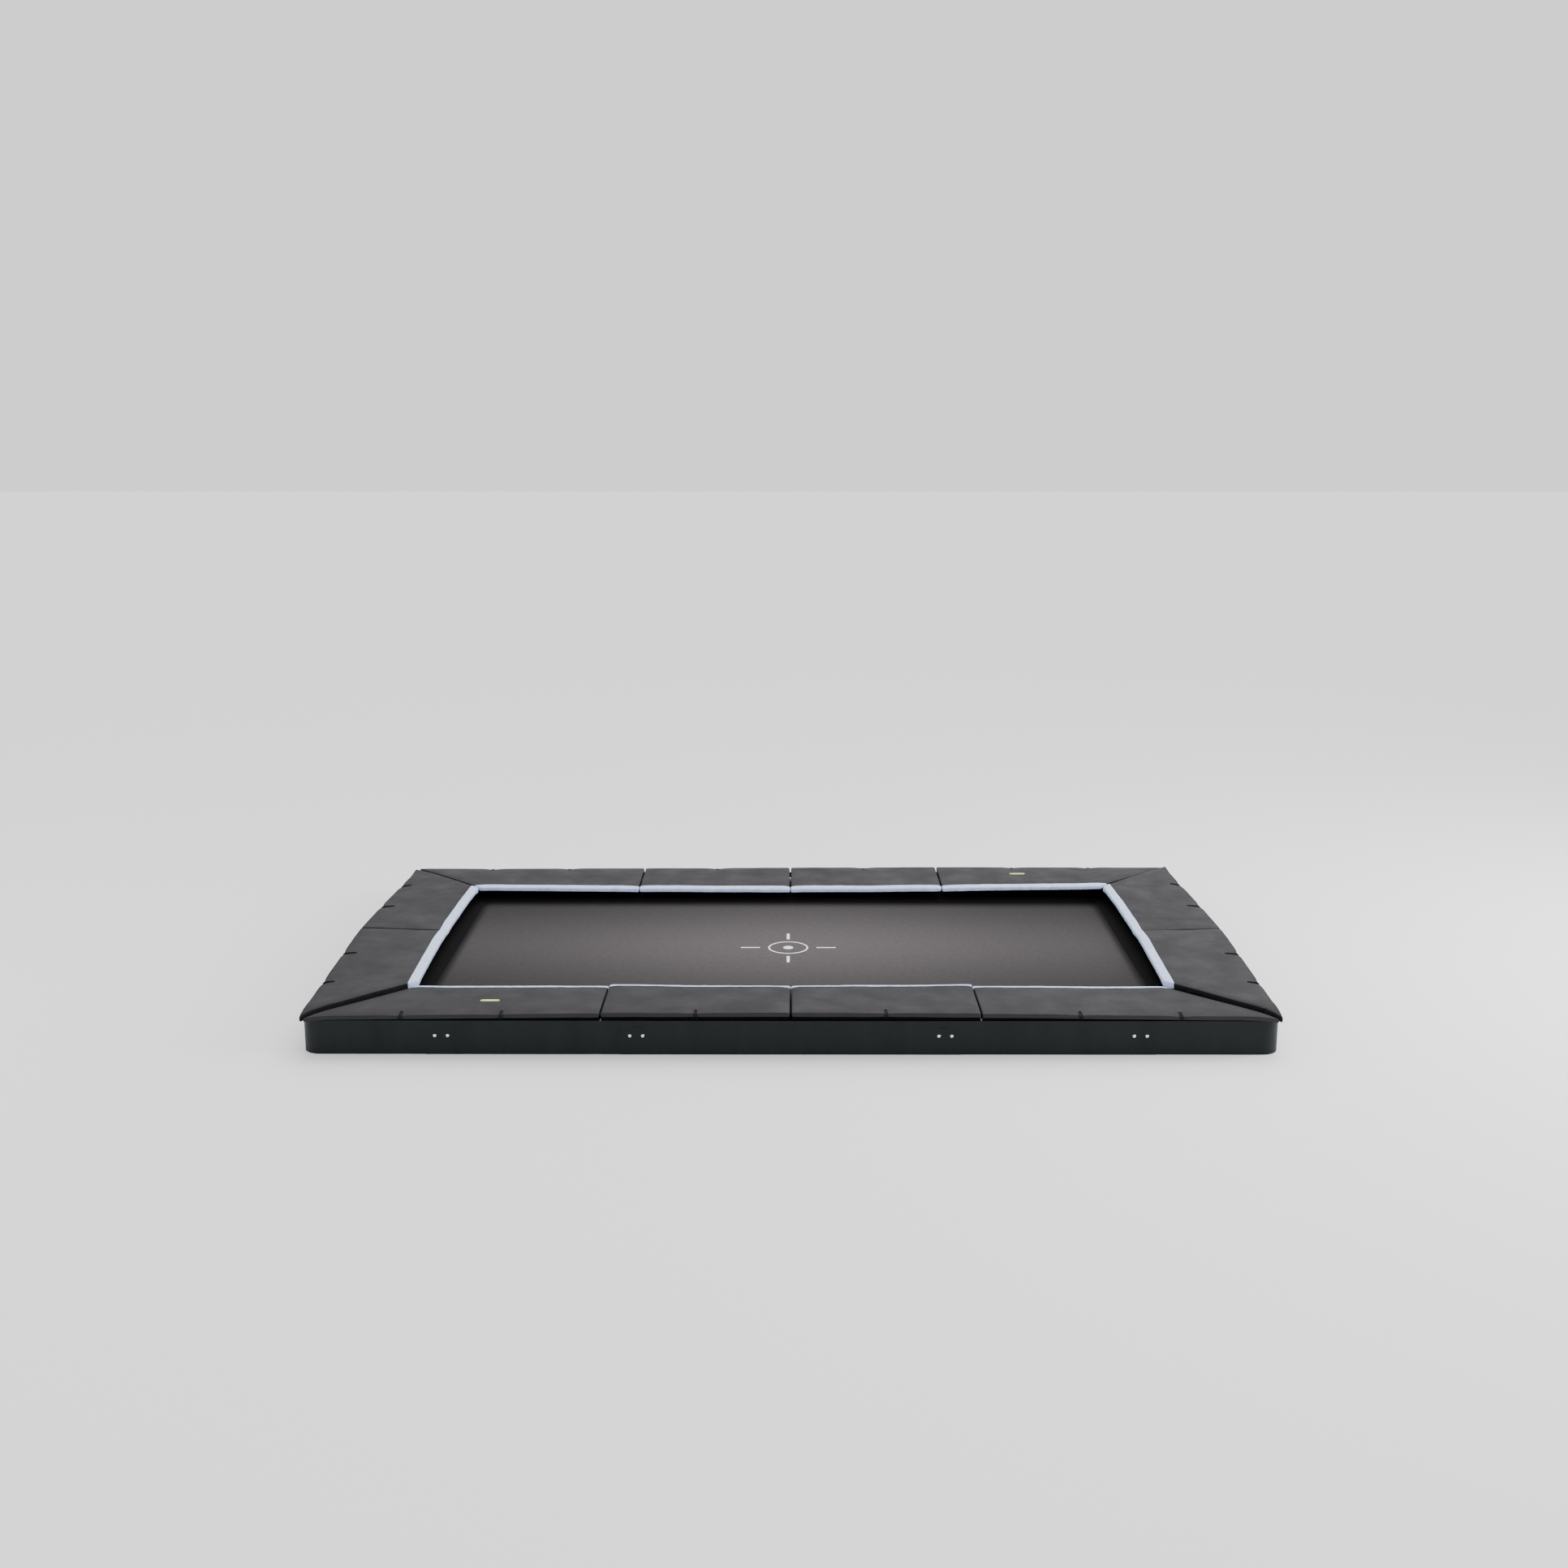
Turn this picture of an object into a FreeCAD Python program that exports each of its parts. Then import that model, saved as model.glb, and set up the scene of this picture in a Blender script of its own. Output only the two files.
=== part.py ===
import FreeCAD, Part
import math
import os
import sys

import Sketcher
from FreeCAD import Placement, Rotation, Vector

# Rectangular in-ground trampoline: a low tube frame on twelve socket legs, skirted by lapped
# wall panels, with a woven bed hung on springs and a ring of twelve hinged safety pads.
# The origin is on the ground at the middle of the frame, X along the long sides, Z up.

os.makedirs("parts", exist_ok=True)
doc = FreeCAD.newDocument("trampoline")

# ---------------------------------------------------------------- driving dimensions (mm)
DIMENSIONS = {
    "frame_length": 5194,
    "frame_width": 3040,
    "wall_height": 187,
    "wall_thickness": 2.5,
    "wall_corner_radius": 105,
    "lap_reach": 84,
    "notch_width": 52,
    "notch_depth": 38,
    "notch_setback": 22,
    "leg_inner_station": 816,
    "leg_outer_station": 1847,
    "leg_side_station": 775,
    "bolt_spacing": 68,
    "bolt_height": 103,
    "bolt_diameter": 8,
    "bolt_hole_diameter": 8.6,
    "bolt_head_diameter": 18,
    "bolt_head_height": 5,
    "bolt_tail": 4,
    "nut_across_flats": 13,
    "nut_thickness": 6.5,
    "washer_diameter": 17,
    "washer_thickness": 1.6,
    "rail_diameter": 48,
    "rail_wall": 2,
    "rail_inset": "=3 * wall_thickness + loop_wall_gap + loop_wire + loop_rail_gap + rail_diameter / 2",
    "rail_level": 135,
    "rail_bend_radius": 120,
    "rail_joint_gap": 1,
    "socket_length": 130,
    "socket_wall": 2.6,
    "socket_clearance": 0.3,
    "post_diameter": 38,
    "foot_length": 120,
    "foot_width": 70,
    "foot_thickness": 4,
    "foot_offset": 4,
    "bracket_width": 104,
    "bracket_tall": 56,
    "bracket_thickness": 4,
    "arm_width": 36,
    "arm_tall": 44,
    "screw_station": 46,
    "screw_diameter": 4.8,
    "screw_hole_diameter": 5.2,
    "screw_head_diameter": 10,
    "screw_head_height": 3.5,
    "screw_length": 9,
    "screw_standoff": 0.4,
    "spring_pitch": 120,
    "springs_per_long_side": 36,
    "springs_per_short_side": 18,
    "spring_gap": 235,
    "spring_diameter": 22,
    "spring_wire": 3.4,
    "spring_start": 22,
    "spring_barrel": 163,
    "hook_wire": 4,
    "hook_hole_diameter": 8,
    "hook_entry": 10,
    "hook_drop": 11,
    "hook_setback": 22,
    "ring_wire": 4,
    "ring_thickness": 4,
    "ring_reach": 28,
    "ring_cover": 14,
    "ring_nose_width": 16,
    "ring_base_width": 42,
    "ring_shoulder": 5.6,
    "ring_drop": 7,
    "bed_thickness": 2,
    "bed_corner_radius": 90,
    "border_width": 275,
    "border_thickness": 2,
    "pad_overhang": 3,
    "pad_long_width": 538,
    "pad_side_width": 535,
    "pad_thickness": 30,
    "pad_long_outer_level": 197,
    "pad_long_inner_level": 179,
    "pad_side_outer_level": 206,
    "pad_side_inner_level": 190,
    "pad_seam_station": 1007,
    "pad_seam_gap": 3,
    "loop_wire": 6,
    "loop_spread": 16,
    "loop_setback": 75,
    "loop_clearance": 1,
    "loop_under_gap": 1.5,
    "loop_wall_gap": 2.5,
    "loop_rail_gap": 1,
    "loop_bend_radius": 5,
    "loop_tail_level": 125,
    "loop_middle_station": 503,
    "loop_outer_station": 1530,
    "loop_corner_station": 2060,
    "loop_side_inner_station": 500,
    "loop_side_outer_station": 1020,
}

sheet = doc.addObject("Spreadsheet::Sheet", "Dimensions")
for row, (alias, value) in enumerate(DIMENSIONS.items(), start=1):
    sheet.set(f"A{row}", alias)
    sheet.set(f"B{row}", str(value))
    sheet.setAlias(f"B{row}", alias)
doc.recompute()


def size(alias):
    """A driving dimension, read back from the spreadsheet."""
    return float(sheet.get(alias))


def expression(text):
    """Writes @name as the spreadsheet cell of that name."""
    return text.replace("@", "Dimensions.")


parts = {}


def label(feature, node):
    feature.Label = node
    parts[node] = feature
    return feature


def bind(feature, **bindings):
    """Ties properties such as Length or Placement__Base__x to cells of the spreadsheet."""
    for name, text in bindings.items():
        feature.setExpression(name.replace("__", "."), expression(text))
    return feature


def primitive(kind, name, turn=None, **bindings):
    feature = doc.addObject(f"Part::{kind}", name)
    if turn is not None:
        feature.Placement = Placement(Vector(), turn)
    return bind(feature, **bindings)


def cut(name, base, tool):
    feature = doc.addObject("Part::Cut", name)
    feature.Base = base
    feature.Tool = tool
    return feature


def fuse(name, shapes):
    feature = doc.addObject("Part::MultiFuse", name)
    feature.Shapes = shapes
    feature.Refine = True
    return feature


def placed(name, master, placement):
    """A copy of a master piece at its own place, still tied to the master."""
    feature = doc.addObject("Part::Compound", name)
    feature.Links = [master]
    feature.Placement = placement
    return feature


def made(node, shape, placement=None):
    feature = doc.addObject("Part::Feature", node)
    feature.Shape = shape
    if placement is not None:
        feature.Placement = placement
    return label(feature, node)


# ---------------------------------------------------------------- the four sides
# Every side has its own frame: its X runs along the side, its Y points inwards from the
# outer face of the wall, and its Z is up. The side's middle is at its origin.
HALF_LENGTH = size("frame_length") / 2
HALF_WIDTH = size("frame_width") / 2
SIDES = {
    "front": Placement(Vector(0, -HALF_WIDTH, 0), Rotation(Vector(0, 0, 1), 0)),
    "right": Placement(Vector(HALF_LENGTH, 0, 0), Rotation(Vector(0, 0, 1), 90)),
    "back": Placement(Vector(0, HALF_WIDTH, 0), Rotation(Vector(0, 0, 1), 180)),
    "left": Placement(Vector(-HALF_LENGTH, 0, 0), Rotation(Vector(0, 0, 1), 270)),
}
LONG_SIDES = ("front", "back")
SHORT_SIDES = ("right", "left")


def on_side(side, along, inward=0.0, level=0.0, turn=0.0):
    local = Placement(Vector(along, inward, level), Rotation(Vector(0, 0, 1), turn))
    return SIDES[side].multiply(local)


def end_name(side, along):
    """Names the end of a side as seen from the front, or from the left for the short sides."""
    mirrored = side in ("back", "left")
    towards_plus = (along > 0) != mirrored
    if side in LONG_SIDES:
        return "right" if towards_plus else "left"
    return "back" if towards_plus else "front"


# Legs stand at four stations on a long side and two on a short one. Each wall joint is
# lapped at a leg, and wall_layer is how many panels deep the outer one of the pair lies.
legs = []
for side in LONG_SIDES:
    for station in ("leg_outer_station", "leg_inner_station"):
        for sign in (-1, 1):
            legs.append((side, sign * size(station), 1 if station == "leg_outer_station" else 0))
for side in SHORT_SIDES:
    for sign in (-1, 1):
        legs.append((side, sign * size("leg_side_station"), 1))


def leg_name(side, along):
    inner = side in LONG_SIDES and abs(along) < size("leg_outer_station")
    kind = "inner_" if inner else ("outer_" if side in LONG_SIDES else "")
    return f"leg_{side}_{kind}{end_name(side, along)}"


def spring_stations(side):
    count = int(size("springs_per_long_side" if side in LONG_SIDES else "springs_per_short_side"))
    pitch = size("spring_pitch")
    return [pitch * (i - (count - 1) / 2) for i in range(count)]


# ---------------------------------------------------------------- holes drilled on assembly
# One tool holds every drilling, so rails, sockets, brackets and panels share the same axes.
RAIL_RADIUS = size("rail_diameter") / 2
RAIL_INNER_FACE = size("rail_inset") + RAIL_RADIUS
SOCKET_RADIUS = RAIL_RADIUS + size("socket_clearance") + size("socket_wall")
RAIL_LEVEL = size("rail_level")
DRILL_PASS = 6.0
CUT_PASS = 1


def drilling(radius, length, side, along, inward, level, direction):
    shape = Part.makeCylinder(radius, length, Vector(along, inward, level), direction)
    shape.Placement = SIDES[side].multiply(shape.Placement)
    return shape


def hook_hole(side, along):
    start = RAIL_INNER_FACE - size("rail_wall") - DRILL_PASS
    length = size("rail_wall") + size("socket_wall") + 2 * DRILL_PASS
    radius = size("hook_hole_diameter") / 2
    return drilling(radius, length, side, along, start, RAIL_LEVEL, Vector(0, 1, 0))


def screw_hole(side, along):
    start = RAIL_LEVEL - SOCKET_RADIUS - DRILL_PASS
    length = size("socket_wall") + size("rail_wall") + 2 * DRILL_PASS
    radius = size("screw_hole_diameter") / 2
    return drilling(radius, length, side, along, size("rail_inset"), start, Vector(0, 0, 1))


def bolt_hole(side, along):
    length = 3 * size("wall_thickness") + size("bracket_thickness") + 2 * DRILL_PASS
    radius = size("bolt_hole_diameter") / 2
    level = size("bolt_height")
    return drilling(radius, length, side, along, -DRILL_PASS, level, Vector(0, 1, 0))


holes = []
for side in SIDES:
    holes += [hook_hole(side, along) for along in spring_stations(side)]
for side, along, wall_layer in legs:
    for sign in (-1, 1):
        holes.append(screw_hole(side, along + sign * size("screw_station")))
        holes.append(bolt_hole(side, along + sign * size("bolt_spacing") / 2))
drillings = doc.addObject("Part::Feature", "drillings")
drillings.Shape = Part.makeCompound(holes)


# ---------------------------------------------------------------- top rail: bent and straight tubes
ALONG_X = Rotation(Vector(0, 1, 0), 90)
ALONG_Y = Rotation(Vector(1, 0, 0), -90)


def straight_rail(node, side, start, end):
    """A straight round tube between two stations of a side, given as cell expressions."""
    tubes = []
    for tool, radius in (("outside", "@rail_diameter / 2"), ("bore", "@rail_diameter / 2 - @rail_wall")):
        tubes.append(primitive("Cylinder", f"{node}_{tool}", ALONG_X, Radius=radius,
                               Height=f"{end} - ({start}) - @rail_joint_gap",
                               Placement__Base__x=f"{start} + @rail_joint_gap / 2",
                               Placement__Base__y="@rail_inset",
                               Placement__Base__z="@rail_level"))
    tube = cut(f"{node}_tube", *tubes)
    return label(cut(node, placed(f"{node}_placed", tube, SIDES[side]), drillings), node)


def corner_solid(name, radius):
    """The solid of a bent tube at the front left corner: a leg along X, a bend and a leg along Y."""
    run_x = "@frame_length / 2 - @rail_inset - @rail_bend_radius"
    run_y = "@frame_width / 2 - @rail_inset - @rail_bend_radius"
    centre_x = f"-({run_x})"
    centre_y = f"-({run_y})"
    bend = primitive("Torus", f"{name}_bend", Radius1="@rail_bend_radius", Radius2=radius,
                     Placement__Base__x=centre_x, Placement__Base__y=centre_y,
                     Placement__Base__z="@rail_level")
    bend.Angle3 = 90
    bend.Placement = Placement(Vector(), Rotation(Vector(0, 0, 1), 180))
    along_x = primitive("Cylinder", f"{name}_along_x", ALONG_X, Radius=radius,
                        Height=f"{run_x} - @leg_outer_station - @rail_joint_gap / 2",
                        Placement__Base__x=centre_x,
                        Placement__Base__y="-(@frame_width / 2 - @rail_inset)",
                        Placement__Base__z="@rail_level")
    along_y = primitive("Cylinder", f"{name}_along_y", ALONG_Y, Radius=radius,
                        Height=f"{run_y} - @leg_side_station - @rail_joint_gap / 2",
                        Placement__Base__x="-(@frame_length / 2 - @rail_inset)",
                        Placement__Base__y=centre_y, Placement__Base__z="@rail_level")
    return fuse(name, [bend, along_x, along_y])


corner_tube = cut("corner_tube", corner_solid("corner_outside", "@rail_diameter / 2"),
                  corner_solid("corner_bore", "@rail_diameter / 2 - @rail_wall"))

HALF_TURN = Rotation(Vector(0, 0, 1), 180)


def mirrored_copy(name, source, normal):
    feature = doc.addObject("Part::Mirroring", name)
    feature.Source = source
    feature.Base = Vector(0, 0, 0)
    feature.Normal = normal
    return feature


def corner_set(name, master):
    """The four corners of one piece that is modelled at the front left corner."""
    front_right = mirrored_copy(f"{name}_front_right_mirror", master, Vector(1, 0, 0))
    return {
        "front_left": placed(f"{name}_front_left_placed", master, Placement()),
        "front_right": front_right,
        "back_left": placed(f"{name}_back_left_placed", front_right, Placement(Vector(), HALF_TURN)),
        "back_right": placed(f"{name}_back_right_placed", master, Placement(Vector(), HALF_TURN)),
    }


for corner, tube in corner_set("corner_rail", corner_tube).items():
    node = f"corner_rail_{corner}"
    label(cut(node, tube, drillings), node)

INNER, OUTER, SIDE = "@leg_inner_station", "@leg_outer_station", "@leg_side_station"
for side in LONG_SIDES:
    straight_rail(f"rail_{side}_middle", side, f"-{INNER}", INNER)
    straight_rail(f"rail_{side}_{end_name(side, 1)}", side, INNER, OUTER)
    straight_rail(f"rail_{side}_{end_name(side, -1)}", side, f"-{OUTER}", f"-{INNER}")
for side in SHORT_SIDES:
    straight_rail(f"rail_{side}", side, f"-{SIDE}", SIDE)


# ---------------------------------------------------------------- legs
# A welded leg: a socket sleeve that joins two rails, a round post, a foot plate and a
# bracket that the wall panels bolt to. The bracket lies behind the two lapped panels.
def leg_master(name, wall_layer):
    face = f"{wall_layer + 2} * @wall_thickness"
    bore = "@rail_diameter / 2 + @socket_clearance"
    half_socket = "-@socket_length / 2"
    sleeve = primitive("Cylinder", f"{name}_sleeve", ALONG_X, Radius=f"{bore} + @socket_wall",
                       Height="@socket_length", Placement__Base__x=half_socket,
                       Placement__Base__y="@rail_inset", Placement__Base__z="@rail_level")
    sleeve_bore = primitive("Cylinder", f"{name}_sleeve_bore", ALONG_X, Radius=bore,
                            Height=f"@socket_length + {2 * CUT_PASS}",
                            Placement__Base__x=f"{half_socket} - {CUT_PASS}",
                            Placement__Base__y="@rail_inset", Placement__Base__z="@rail_level")
    post = primitive("Cylinder", f"{name}_post", Radius="@post_diameter / 2",
                     Height="@rail_level - @rail_diameter / 4", Placement__Base__y="@rail_inset")
    foot = primitive("Box", f"{name}_foot", Length="@foot_length", Width="@foot_width",
                     Height="@foot_thickness", Placement__Base__x="-@foot_length / 2",
                     Placement__Base__y="@rail_inset - @foot_width / 2 + @foot_offset")
    bracket = primitive("Box", f"{name}_bracket", Length="@bracket_width",
                        Width="@bracket_thickness", Height="@bracket_tall",
                        Placement__Base__x="-@bracket_width / 2", Placement__Base__y=face,
                        Placement__Base__z="@bolt_height - @bracket_tall / 2")
    arm = primitive("Box", f"{name}_arm", Length="@arm_width",
                    Width=f"@rail_inset - {face}", Height="@arm_tall",
                    Placement__Base__x="-@arm_width / 2", Placement__Base__y=face,
                    Placement__Base__z="@bolt_height - @arm_tall / 2")
    solid = fuse(f"{name}_solid", [sleeve, post, foot, bracket, arm])
    return cut(name, solid, sleeve_bore)


leg_masters = {layer: leg_master(f"leg_pattern_{layer}", layer) for layer in (0, 1)}
for side, along, wall_layer in legs:
    node = leg_name(side, along)
    leg = placed(f"{node}_placed", leg_masters[wall_layer], on_side(side, along))
    label(cut(node, leg, drillings), node)


# ---------------------------------------------------------------- retaining wall panels
# Straight panels overlap at the legs: the long sides' middle panel lies outermost, the
# panels beside it one layer in, and the rounded corner panels two layers in.
def straight_panel(node, side, start, end, wall_layer, notches):
    """A straight wall panel from start to end, cell expressions, past the laps at its ends."""
    plate = primitive("Box", f"{node}_plate", Length=f"{end} - ({start}) + 2 * @lap_reach",
                      Width="@wall_thickness", Height="@wall_height",
                      Placement__Base__x=f"{start} - @lap_reach",
                      Placement__Base__y=f"{wall_layer} * @wall_thickness")
    shape = plate
    for number, station in enumerate(notches):
        notch = primitive("Box", f"{node}_notch_{number}", Length="@notch_width",
                          Width=f"@wall_thickness + {2 * CUT_PASS}",
                          Height=f"@notch_depth + {CUT_PASS}", Placement__Base__x=station,
                          Placement__Base__y=f"{wall_layer} * @wall_thickness - {CUT_PASS}",
                          Placement__Base__z="@wall_height - @notch_depth")
        shape = cut(f"{node}_notched_{number}", shape, notch)
    return label(cut(node, placed(f"{node}_placed", shape, SIDES[side]), drillings), node)


def corner_panel_master(name):
    inset = "2 * @wall_thickness"
    radius = f"@wall_corner_radius - {inset}"
    centre_x = "-(@frame_length / 2 - @wall_corner_radius)"
    centre_y = "-(@frame_width / 2 - @wall_corner_radius)"
    bend = []
    for tool, inward in (("outside", "0"), ("inside", "@wall_thickness")):
        quarter = primitive("Cylinder", f"{name}_{tool}", HALF_TURN, Radius=f"{radius} - {inward}",
                            Height="@wall_height", Placement__Base__x=centre_x,
                            Placement__Base__y=centre_y)
        quarter.Angle = 90
        bend.append(quarter)
    front = primitive("Box", f"{name}_front", Width="@wall_thickness", Height="@wall_height",
                      Length=f"-({centre_x}) - @leg_outer_station + @lap_reach",
                      Placement__Base__x=centre_x,
                      Placement__Base__y=f"-@frame_width / 2 + {inset}")
    side = primitive("Box", f"{name}_side", Length="@wall_thickness", Height="@wall_height",
                     Width=f"-({centre_y}) - @leg_side_station + @lap_reach",
                     Placement__Base__x=f"-@frame_length / 2 + {inset}",
                     Placement__Base__y=centre_y)
    return fuse(name, [cut(f"{name}_bend", *bend), front, side])


NOTCH_LEFT = f"-{INNER} - @bolt_spacing / 2 + @notch_setback"
NOTCH_RIGHT = f"{INNER} + @bolt_spacing / 2 - @notch_setback - @notch_width"
for side in LONG_SIDES:
    straight_panel(f"wall_{side}_middle", side, f"-{INNER}", INNER, 0, [NOTCH_LEFT, NOTCH_RIGHT])
    straight_panel(f"wall_{side}_{end_name(side, 1)}", side, INNER, OUTER, 1, [])
    straight_panel(f"wall_{side}_{end_name(side, -1)}", side, f"-{OUTER}", f"-{INNER}", 1, [])
for side in SHORT_SIDES:
    straight_panel(f"wall_{side}", side, f"-{SIDE}", SIDE, 1, [])
for corner, panel in corner_set("wall_corner", corner_panel_master("wall_corner_pattern")).items():
    node = f"wall_corner_{corner}"
    label(cut(node, panel, drillings), node)


# ---------------------------------------------------------------- fasteners
# Carriage bolts hold each lap to its bracket, with a washer and a nut behind. Self-drilling
# screws pin both rails into each socket from below.
STACK = 2 * size("wall_thickness") + size("bracket_thickness")
INTO_FRAME = Vector(0, 1, 0)


def carriage_bolt():
    radius = size("bolt_head_diameter") / 2
    height = size("bolt_head_height")
    ball = (radius**2 + height**2) / (2 * height)
    dome = Part.makeSphere(ball, Vector(0, ball - height, 0))
    slab = Part.makeBox(4 * ball, height, 4 * ball, Vector(-2 * ball, -height, -2 * ball))
    length = STACK + size("washer_thickness") + size("nut_thickness") + size("bolt_tail")
    shank = Part.makeCylinder(size("bolt_diameter") / 2, length + height / 2,
                              Vector(0, -height / 2, 0), INTO_FRAME)
    return dome.common(slab).fuse(shank).removeSplitter()


def ring_disc(outer_radius, thickness, start):
    disc = Part.makeCylinder(outer_radius, thickness, Vector(0, start, 0), INTO_FRAME)
    bore = Part.makeCylinder(size("bolt_diameter") / 2, thickness, Vector(0, start, 0), INTO_FRAME)
    return disc.cut(bore)


def hexagon_nut():
    start = STACK + size("washer_thickness")
    corner = size("nut_across_flats") / math.sqrt(3)
    points = [Vector(corner * math.cos(math.radians(60 * i)), start, corner * math.sin(math.radians(60 * i)))
              for i in range(7)]
    prism = Part.Face(Part.makePolygon(points)).extrude(INTO_FRAME * size("nut_thickness"))
    bore = Part.makeCylinder(size("bolt_diameter") / 2, size("nut_thickness"),
                             Vector(0, start, 0), INTO_FRAME)
    return prism.cut(bore)


def socket_screw():
    seat = RAIL_LEVEL - SOCKET_RADIUS - size("screw_standoff")
    head = Part.makeCylinder(size("screw_head_diameter") / 2, size("screw_head_height"),
                             Vector(0, 0, seat - size("screw_head_height")))
    shank = Part.makeCylinder(size("screw_diameter") / 2, size("screw_length") + size("screw_standoff"),
                              Vector(0, 0, seat))
    return head.fuse(shank)


bolts, washers, nuts, screws = [], [], [], []
for side, along, wall_layer in legs:
    for sign in (-1, 1):
        place = on_side(side, along + sign * size("bolt_spacing") / 2,
                        wall_layer * size("wall_thickness"), size("bolt_height"))
        for group, shape in ((bolts, carriage_bolt()), (nuts, hexagon_nut()),
                             (washers, ring_disc(size("washer_diameter") / 2,
                                                 size("washer_thickness"), STACK))):
            shape.Placement = place
            group.append(shape)
        screw = socket_screw()
        screw.Placement = on_side(side, along + sign * size("screw_station"), size("rail_inset"))
        screws.append(screw)
made("wall_bolts", Part.makeCompound(bolts))
made("wall_washers", Part.makeCompound(washers))
made("wall_nuts", Part.makeCompound(nuts))
made("socket_screws", Part.makeCompound(screws))


# ---------------------------------------------------------------- springs and bed rings
# Each spring is an open barrel with a straight hook into the rail and a turned-down hook
# in a ring of the bed. Distances run inwards from the rail's inner face.
BED_EDGE = RAIL_INNER_FACE + size("spring_gap")


def spring():
    start = RAIL_INNER_FACE + size("spring_start")
    length = size("spring_barrel")
    outer = size("spring_diameter") / 2
    wire = size("hook_wire") / 2
    hook = BED_EDGE - size("hook_setback")
    barrel = Part.makeCylinder(outer, length, Vector(0, start, 0), INTO_FRAME)
    bore = Part.makeCylinder(outer - size("spring_wire"), length, Vector(0, start, 0), INTO_FRAME)
    shape = barrel.cut(bore)
    overlap = size("hook_wire")
    for begin, finish in ((RAIL_INNER_FACE - size("hook_entry"), start + overlap),
                          (start + length - overlap, hook)):
        rod = Part.makeCylinder(wire, finish - begin, Vector(0, begin, 0), INTO_FRAME)
        shape = shape.fuse(rod)
    reach = outer - wire / 2
    for begin in (start, start + length - overlap):
        bar = Part.makeBox(2 * reach, overlap, overlap, Vector(-reach, begin, -wire))
        shape = shape.fuse(bar)
    turned_down = Part.makeCylinder(wire, size("hook_drop"), Vector(0, hook, wire), Vector(0, 0, -1))
    return shape.fuse(turned_down).removeSplitter()


def bed_ring():
    """A flat four-sided ring under the bed's edge, its nose towards the spring."""
    wire = size("ring_wire")
    nose_y = BED_EDGE - size("ring_reach")
    base_y = BED_EDGE + size("ring_cover")
    nose, base = size("ring_nose_width") / 2, size("ring_base_width") / 2
    shoulder = base - size("ring_shoulder")
    outline = [(-nose, nose_y), (nose, nose_y), (base, base_y), (-base, base_y)]
    inner = [(-nose + wire / 2, nose_y + wire), (nose - wire / 2, nose_y + wire),
             (shoulder, base_y - wire), (-shoulder, base_y - wire)]
    level = -size("ring_drop")
    faces = []
    for corners in (outline, inner):
        loop = [Vector(x, y, level) for x, y in corners]
        faces.append(Part.Face(Part.makePolygon(loop + loop[:1])))
    return faces[0].cut(faces[1]).extrude(Vector(0, 0, size("ring_thickness")))


rings = []
for side in SIDES:
    springs = []
    for along in spring_stations(side):
        for group, shape in ((springs, spring()), (rings, bed_ring())):
            shape.Placement = on_side(side, along, 0, RAIL_LEVEL)
            group.append(shape)
    made(f"springs_{side}", Part.makeCompound(springs))
made("bed_rings", Part.makeCompound(rings))


# ---------------------------------------------------------------- sketch helpers for bodies
def body_with(node):
    body = doc.addObject("PartDesign::Body", node)
    return label(body, node)


def origin_plane(body, role):
    return next(f for f in body.Origin.OriginFeatures if f.Role == role)


def sketch_on(body, name, role):
    sketch = body.newObject("Sketcher::SketchObject", name)
    sketch.AttachmentSupport = [(origin_plane(body, role), "")]
    sketch.MapMode = "FlatFace"
    return sketch


def constrain(sketch, *facts):
    return sketch.addConstraint(Sketcher.Constraint(*facts))


def polygon(sketch, corners):
    """A closed outline whose corners are pairs of cell expressions."""
    points = [Vector(sketch.evalExpression(expression(x)), sketch.evalExpression(expression(y)), 0)
              for x, y in corners]
    first = sketch.GeometryCount
    for start, end in zip(points, points[1:] + points[:1]):
        sketch.addGeometry(Part.LineSegment(start, end))
    count = len(points)
    for i in range(count):
        constrain(sketch, "Coincident", first + i, 2, first + (i + 1) % count, 1)
    for i, (x, y) in enumerate(corners):
        for kind, text in (("DistanceX", x), ("DistanceY", y)):
            value = sketch.evalExpression(expression(text))
            index = constrain(sketch, kind, -1, 1, first + i, 1, value)
            sketch.setExpression(f"Constraints[{index}]", expression(text))
    return sketch


def pad_feature(body, sketch, name, **bindings):
    feature = body.newObject("PartDesign::Pad", name)
    feature.Profile = sketch
    bind(feature, **bindings)
    body.Tip = feature
    return feature


# ---------------------------------------------------------------- bed
# The woven bed and the band of doubled webbing sewn round its margin.
def rectangle(half_x, half_y):
    return [(f"-({half_x})", f"-({half_y})"), (half_x, f"-({half_y})"),
            (half_x, half_y), (f"-({half_x})", half_y)]


BED_HALF_X = f"@frame_length / 2 - @rail_inset - @rail_diameter / 2 - @spring_gap"
BED_HALF_Y = f"@frame_width / 2 - @rail_inset - @rail_diameter / 2 - @spring_gap"


def vertical_edges(shape, half_x, half_y):
    """The names of the four upright edges at the outer corners of a flat piece."""
    near = 1.0
    names = []
    for number, edge in enumerate(shape.Edges, start=1):
        middle = edge.CenterOfMass
        upright = edge.BoundBox.ZLength > edge.BoundBox.DiagonalLength / 2
        if upright and abs(abs(middle.x) - half_x) < near and abs(abs(middle.y) - half_y) < near:
            names.append(f"Edge{number}")
    return names


def round_corners(body, base, radius):
    doc.recompute()
    box = base.Shape.BoundBox
    fillet = body.newObject("PartDesign::Fillet", f"{body.Label}_rounding")
    fillet.Base = (base, vertical_edges(base.Shape, box.XMax, box.YMax))
    bind(fillet, Radius=radius)
    body.Tip = fillet


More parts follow.
